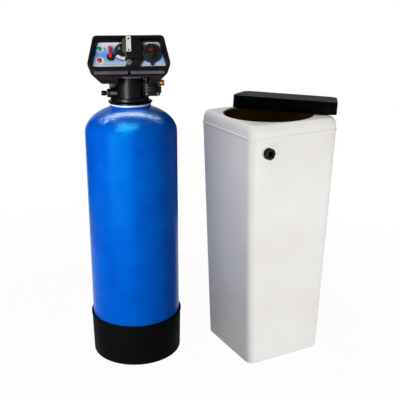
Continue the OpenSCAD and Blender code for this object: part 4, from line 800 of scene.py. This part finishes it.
def makeTimeDial():
    x, v, thick = face["dialX"], face["dialV"], face["mark"]
    for colour, finish, slot in (("red", redPrint, "red_plastic"), ("green", greenPrint, "green_plastic")):
        for zone, level in (("hubR", "hubTop"), ("ringR", "dialTop")):
            patch = sector(f"{colour}Patch_{zone}", *timeDial[zone], *timeDial[colour], thick)
            mark(patch, finish, onFace(x, v, face[level]), "time_dial")
    tick = bar("dialTick", *timeDial["tickSize"], thick, timeDial["tickCorner"])
    ticks = around(tick, "dialTicks", timeDial["ticks"], timeDial["tickR"], timeDial["tickStart"])
    mark(ticks, greyPrint, onFace(x, v, face["dialTop"]), "time_dial")
    hours = [str(hour) for hour in timeDial["hours"]] * 2  # twice round for a day
    figures = numeralRing("dialFigures", hours, timeDial["figureR"], timeDial["figure"], thick)
    mark(figures, greyPrint, onFace(x, v, face["dialTop"] + thick / 2), "time_dial")
    groove = bar("dialSlot", *timeDial["slotSize"], thick, timeDial["slotCorner"])
    place = onFace(x, v, face["hubTop"] + thick, timeDial["slotTurn"])
    mark(groove, inkPrint, place, "time_dial")


programWheel = {"dot": (-8.3, 6.5), "dotR": 2.8, "dotTopR": 2.52, "dotPoleR": 0.4, "dotCrown": 0.1,
                "purple": (164, 190), "rust": (122, 142), "bandR": (12.6, 16.6),
                "figureR": 15.4, "figure": 2.4, "days": 12}


def makeProgramWheel():
    x, v, thick, level = face["wheelX"], face["wheelV"], face["mark"], face["dialTop"]
    dotX, dotV = programWheel["dot"]
    dot = turned("wheelDot", [(programWheel["dotR"], 0), (programWheel["dotTopR"], thick),
                              (programWheel["dotPoleR"], thick + programWheel["dotCrown"])], 32)
    mark(dot, leafPrint, onFace(x + dotX, v + dotV, level), "program_wheel")
    for zone, finish in (("purple", purplePrint), ("rust", redPrint)):
        patch = sector(f"{zone}Patch", *programWheel["bandR"], *programWheel[zone], thick)
        mark(patch, finish, onFace(x, v, level), "program_wheel")
    days = [str(day + 1) for day in range(programWheel["days"])]
    figures = numeralRing("wheelFigures", days, programWheel["figureR"], programWheel["figure"], thick)
    mark(figures, greyPrint, onFace(x, v, level + thick / 2), "program_wheel")


lampCard = {"radius": 7.2, "tail": 5.6, "tip": 0.5, "drawn": 0.75, "pinX": 10.6, "pinR": 1.5,
            "pinWall": 0.84, "pinDome": 0.56}


def makeLampCards():
    for name, level, finish, slot in (("green", face["greenV"], inkPrint, "black_plastic"),
                                      ("red", face["redV"], rosePrint, "red_plastic")):
        card = teardrop(f"{name}Card", lampCard["radius"], lampCard["tail"], lampCard["tip"],
                        lampCard["drawn"], face["mark"])
        mark(card, ivoryPrint, onFace(face["lampX"], level, face["plateN"]))
        radius, wall = lampCard["pinR"], lampCard["pinWall"]
        pin = turned(f"{name}Pin", [(radius, 0), (radius, wall)]
                     + arc(0, wall, radius, lampCard["pinDome"], 15, 80, 4), 24)
        mark(pin, finish, onFace(face["lampX"] + lampCard["pinX"], level, face["plateN"]))


panel = {"dots": 6, "dotStep": 4.6, "dotX": -52.0, "dotV": -17.6, "dotR": 0.75, "firstDot": 1.4,
         "dotTaper": 0.9, "dotPoleR": 0.2, "dash": (-7.0, -17.4), "dashSize": (1.6, 8.8), "dashCorner": 0.5,
         "dashTurn": 3, "redMarks": (232, 246, 260), "redMarkR": 15.5, "redMarkSize": (2.4, 0.8),
         "redMarkCorner": 0.2, "pointer": (48.4, -17.6),
         "pointerStations": [(3.4, 0), (3.4, 4.2), (2.8, 4.8), (0.5, 5.0)]}


def makePanelMarks():
    thick = face["mark"]
    for i in range(panel["dots"]):
        radius = panel["dotR"] * (panel["firstDot"] if i == 0 else 1)
        dot = turned(f"panelDot{i + 1}", [(radius, 0), (radius * panel["dotTaper"], thick),
                                          (panel["dotPoleR"], thick)], 16)
        mark(dot, inkPrint,
             onFace(panel["dotX"] + i * panel["dotStep"], panel["dotV"], face["plateN"]))
    dash = bar("whiteDash", *panel["dashSize"], thick, panel["dashCorner"])
    mark(dash, ivoryPrint, onFace(*panel["dash"], face["lowCover"], panel["dashTurn"]))
    for i, turn in enumerate(panel["redMarks"]):
        stroke = bar(f"scaleMark{i + 1}", *panel["redMarkSize"], thick, panel["redMarkCorner"])
        reach = Matrix.Translation((panel["redMarkR"] * mm, 0, 0))
        mark(stroke, redPrint,
             onFace(face["wheelX"], face["wheelV"], face["scaleTop"], turn) @ reach)
    pointer = turned("dialPointer", panel["pointerStations"], 32)
    mark(pointer, purplePrint, onFace(*panel["pointer"], face["plateN"]))


band = {"half": 73, "gap": 3.0, "width": 8.4, "thick": 0.7, "corner": 1.2, "lipV": -37.0, "slope": 0.55,
        "start": 0.2}


def makeChinBand():  # strip under the lip in light grey-purple, a painted reflection, parted at the latch
    length = band["half"] - band["gap"]
    reach = band["start"] + band["width"] / 2
    lean = math.atan(band["slope"])
    for name, side in (("chinBandLeft", -1), ("chinBandRight", 1)):
        strip = bar(name, length, band["width"], band["thick"], band["corner"])
        place = onFace(side * (band["gap"] + length / 2), band["lipV"] - reach * math.sin(lean),
                       -reach * math.cos(lean))
        tilt = Matrix.Rotation(math.radians(90) - lean, 4, "X")
        mark(strip, paintedReflectionBand, place @ tilt)


makeTimeDial()
makeProgramWheel()
makeLampCards()
makePanelMarks()
makeChinBand()
print("face marked")


# Threads on the two rear nipples

thread = {"pitch": 2.3, "crest": 0.35, "root": -0.3, "margin": 1.2, "crestShares": (0.4, 0.6), "depth": 1,
          "sides": 72, "smoothAngle": 25}


def makeThread(name, mount):
    radius, length = mount["dims"]["r_mm"], mount["dims"]["length_mm"]
    turns = int((length - 2 * thread["margin"]) / thread["pitch"])
    base = thread["margin"] - length / 2
    stations = []
    for i in range(turns):
        foot = base + i * thread["pitch"]
        stations.append((radius + thread["root"], foot))
        stations += [(radius + thread["crest"], foot + share * thread["pitch"])
                     for share in thread["crestShares"]]
    stations.append((radius + thread["root"], base + turns * thread["pitch"]))
    innerR = radius - thread["depth"]
    stations += [(innerR, stations[-1][1]), (innerR, base), stations[0]]
    ridge = turned(name, stations, thread["sides"], closed=False)
    stand(ridge, atMount(mount))
    smooth(ridge, thread["smoothAngle"])
    fit(ridge, blackValve, "softener")


makeThread("inletThread", mounts["inlet_thread"])
makeThread("outletThread", mounts["outlet_thread"])
print("threads cut")


# Inner pieces keep their solids and get a finish

innerFinishes = {
    "tank_liner": whiteRing, "riser_tube": palePlastic, "lower_basket": palePlastic,
    "upper_strainer": palePlastic, "gravel_bed": quartzGravel, "resin_bed": amberResin,
    "neck_o_ring": blackRubber, "barrel_seals": blackRubber, "barrel_spacers": palePlastic,
    "end_plug": blackValve, "piston": palePlastic, "piston_rod": plainSteel,
    "injector_nozzle": palePlastic, "brine_stem": plainSteel,
    "timer_plate": palePlastic, "time_gear": palePlastic, "clock_motor": plainSteel,
    "clock_pinion": palePlastic, "drive_bracket": plainSteel, "drive_gear": palePlastic,
    "drive_motor": plainSteel, "drive_pinion": palePlastic, "brine_well": palePlastic,
    "well_cap": palePlastic, "salt_grid": palePlastic, "float_valve": palePlastic,
    "float": palePlastic, "pickup_tube": palePlastic,
}
for node, finish in innerFinishes.items():
    nodes[node].data.materials.clear()
    nodes[node].data.materials.append(finish)
print("inner finishes set on", len(innerFinishes), "nodes")


# Stage, light and camera

stageLook = {"floorHalf": 12.0, "floorDrop": 0.0005, "near": 0.5, "far": 1.2, "nearGlow": 0.97,
             "paper": (0.6, 0.6, 0.6, 1), "white": (1, 1, 1, 1), "ambient": 0.06, "tankSideX": 0.15}


def lightPath(tree):  # rays that see the background: straight, mirrored or through glass
    path = put(tree, "ShaderNodeLightPath").outputs
    mirrored = maths(tree, "MAXIMUM", path["Is Camera Ray"], path["Is Glossy Ray"])
    return maths(tree, "MAXIMUM", mirrored, path["Is Transmission Ray"])


def makeFloor():
    bpy.ops.object.select_all(action="DESELECT")
    bpy.ops.mesh.primitive_plane_add(
        size=2 * stageLook["floorHalf"], location=(0, 0, -stageLook["floorDrop"]))
    floor = added("studioFloor")
    settle(floor)
    finish, tree, shader = newFinish("paleFloor")
    tree.nodes.remove(shader)
    place = put(tree, "ShaderNodeTexCoord").outputs["Object"]
    away = put(tree, "ShaderNodeVectorMath", {0: place}, operation="LENGTH").outputs["Value"]
    faded = put(tree, "ShaderNodeMapRange",
                {"Value": away, "From Min": stageLook["near"], "From Max": stageLook["far"],
                 "To Min": stageLook["nearGlow"], "To Max": 1.0}).outputs["Result"]
    seen = lightPath(tree)
    paper = put(tree, "ShaderNodeBsdfDiffuse", {"Color": stageLook["paper"]})
    glow = put(tree, "ShaderNodeEmission", {"Color": stageLook["white"], "Strength": 1.0})
    mixed = put(tree, "ShaderNodeMixShader",
                {"Fac": maths(tree, "MULTIPLY", seen, faded), 1: paper.outputs[0], 2: glow.outputs[0]})
    output = tree.nodes["Material Output"]
    tree.links.new(mixed.outputs[0], output.inputs["Surface"])
    floor.data.materials.append(finish)


flags = {"size": (1.0, 1.4), "leftFlag": (-0.8, 0.5, 0.5), "rightFlag": (0.62, 0.62, 0.5)}


def blackFlag(name):
    # a dark card that only shows as a reflection along the vessel's edges
    bpy.ops.object.select_all(action="DESELECT")
    bpy.ops.mesh.primitive_plane_add(size=1)
    flag = added(name)
    away = Vector((*flags[name][:2], 0))
    stand(flag, Matrix.Translation(flags[name]) @ away.to_track_quat("Z", "Y").to_matrix().to_4x4()
          @ Matrix.Diagonal((*flags["size"], 1, 1)))
    flag.data.materials.append(blackBoot)
    flag.visible_camera = False
    flag.visible_diffuse = False
    flag.visible_shadow = False


def makeWorld():
    world = bpy.data.worlds.new("studioWorld")
    bpy.context.scene.world = world
    world.use_nodes = True
    tree = world.node_tree
    plain = tree.nodes["Background"]
    plain.inputs["Color"].default_value = stageLook["white"]
    plain.inputs["Strength"].default_value = stageLook["ambient"]
    white = put(tree, "ShaderNodeBackground", {"Color": stageLook["white"], "Strength": 1.0})
    mixed = put(tree, "ShaderNodeMixShader",
                {"Fac": lightPath(tree), 1: plain.outputs[0], 2: white.outputs[0]})
    tree.links.new(mixed.outputs[0], tree.nodes["World Output"].inputs["Surface"])


def isTankSide(obj):
    return min((obj.matrix_world @ Vector(corner)).x for corner in obj.bound_box) > stageLook["tankSideX"]


litTests = {
    "vesselSide": lambda obj: not isTankSide(obj),
    "tankSide": isTankSide,
    "tankAlone": lambda obj: obj.name == "brineTank",
    "shellAlone": lambda obj: obj.name == "vesselShell",
    "valveSide": lambda obj: not isTankSide(obj) and obj.name != "vesselShell",
}
lamps = {
    "vesselKey": {"place": (-0.85, -1.25, 0.8), "aim": (0, 0, 0.4), "size": (0.8, 1.2), "watts": 21,
                  "lit": "vesselSide"},
    "tankKey": {"place": (1.15, -1.3, 0.26), "aim": (0.31, 0, 0.22), "size": (1.0, 0.5), "watts": 18.2,
                "lit": "tankSide"},
    "tankFill": {"place": (0.06, -0.26, 0.36), "aim": (0.22, -0.08, 0.32), "size": (0.06, 0.6),
                 "watts": 0.27, "lit": "tankSide"},
    "deckLight": {"place": (-0.1, -0.3, 1.35), "aim": (0.28, 0, 0.56), "size": (0.4, 0.4), "watts": 4.0,
                  "lit": "tankAlone"},
    "topLight": {"place": (0.1, 0.25, 1.9), "aim": (0.1, 0, 0.5), "size": (1.4, 0.5), "watts": 4},
}
glossLamps = {  # they only show as reflections, and nothing stands in their way
    "valveSheen": {"place": (-0.75, -1.3, 0.6), "aim": (0, 0, 0.4), "size": (0.35, 1.2), "watts": 75,
                   "lit": "valveSide"},
    "shellSheen": {"place": (-0.7, -1.3, 0.6), "aim": (0, 0, 0.4), "size": (1.6, 1.4), "watts": 220,
                   "lit": "shellAlone"},
    "domeStreak": {"place": (0, 0.58, 1.6), "aim": (0, -0.06, 0.58), "size": (1.7, 0.14), "watts": 110,
                   "lit": "shellAlone"},
    "domePatch": {"place": (-0.2, -0.6, 1.6), "aim": (0, -0.08, 0.57), "size": (0.8, 1.0), "watts": 260,
                  "lit": "shellAlone"},
}


def makeLitGroups():
    groups = {name: bpy.data.collections.new(name) for name in litTests}
    for obj in bpy.context.scene.objects:
        for name, test in litTests.items():
            if obj.type == "MESH" and test(obj):
                groups[name].objects.link(obj)
    return groups


def softbox(name, look, groups):
    lamp = bpy.data.lights.new(name, "AREA")
    lamp.shape = "RECTANGLE"
    lamp.size, lamp.size_y = look["size"]
    lamp.energy = look["watts"]
    obj = bpy.data.objects.new(name, lamp)
    bpy.context.scene.collection.objects.link(obj)
    obj.location = look["place"]
    obj.rotation_euler = (Vector(look["aim"]) - obj.location).to_track_quat("-Z", "Y").to_euler()
    obj.visible_camera = False
    if "lit" in look:
        obj.light_linking.receiver_collection = groups[look["lit"]]
    if name in glossLamps:
        obj.visible_diffuse = False
        obj.light_linking.blocker_collection = groups[look["lit"]]


makeFloor()
blackFlag("leftFlag")
blackFlag("rightFlag")
makeWorld()
litGroups = makeLitGroups()
for name, look in {**lamps, **glossLamps}.items():
    softbox(name, look, litGroups)

camera = {"place": (0.008, -1.575, 0.880), "yaw": 5.3, "pitch": 18.0, "focalPixels": 716,
          "framePixels": 400, "sensor": 36.0}  # metres, degrees, pixels and millimetres
lens = bpy.data.cameras.new("photoCamera")
lens.sensor_width = camera["sensor"]
lens.lens = camera["focalPixels"] / camera["framePixels"] * camera["sensor"]
eye = bpy.data.objects.new("photoCamera", lens)
bpy.context.scene.collection.objects.link(eye)
eye.location = camera["place"]
eye.rotation_euler = (math.radians(90 - camera["pitch"]), 0, -math.radians(camera["yaw"]))
bpy.context.scene.camera = eye
bpy.context.scene.view_settings.view_transform = "Standard"
print("stage, light and camera set")
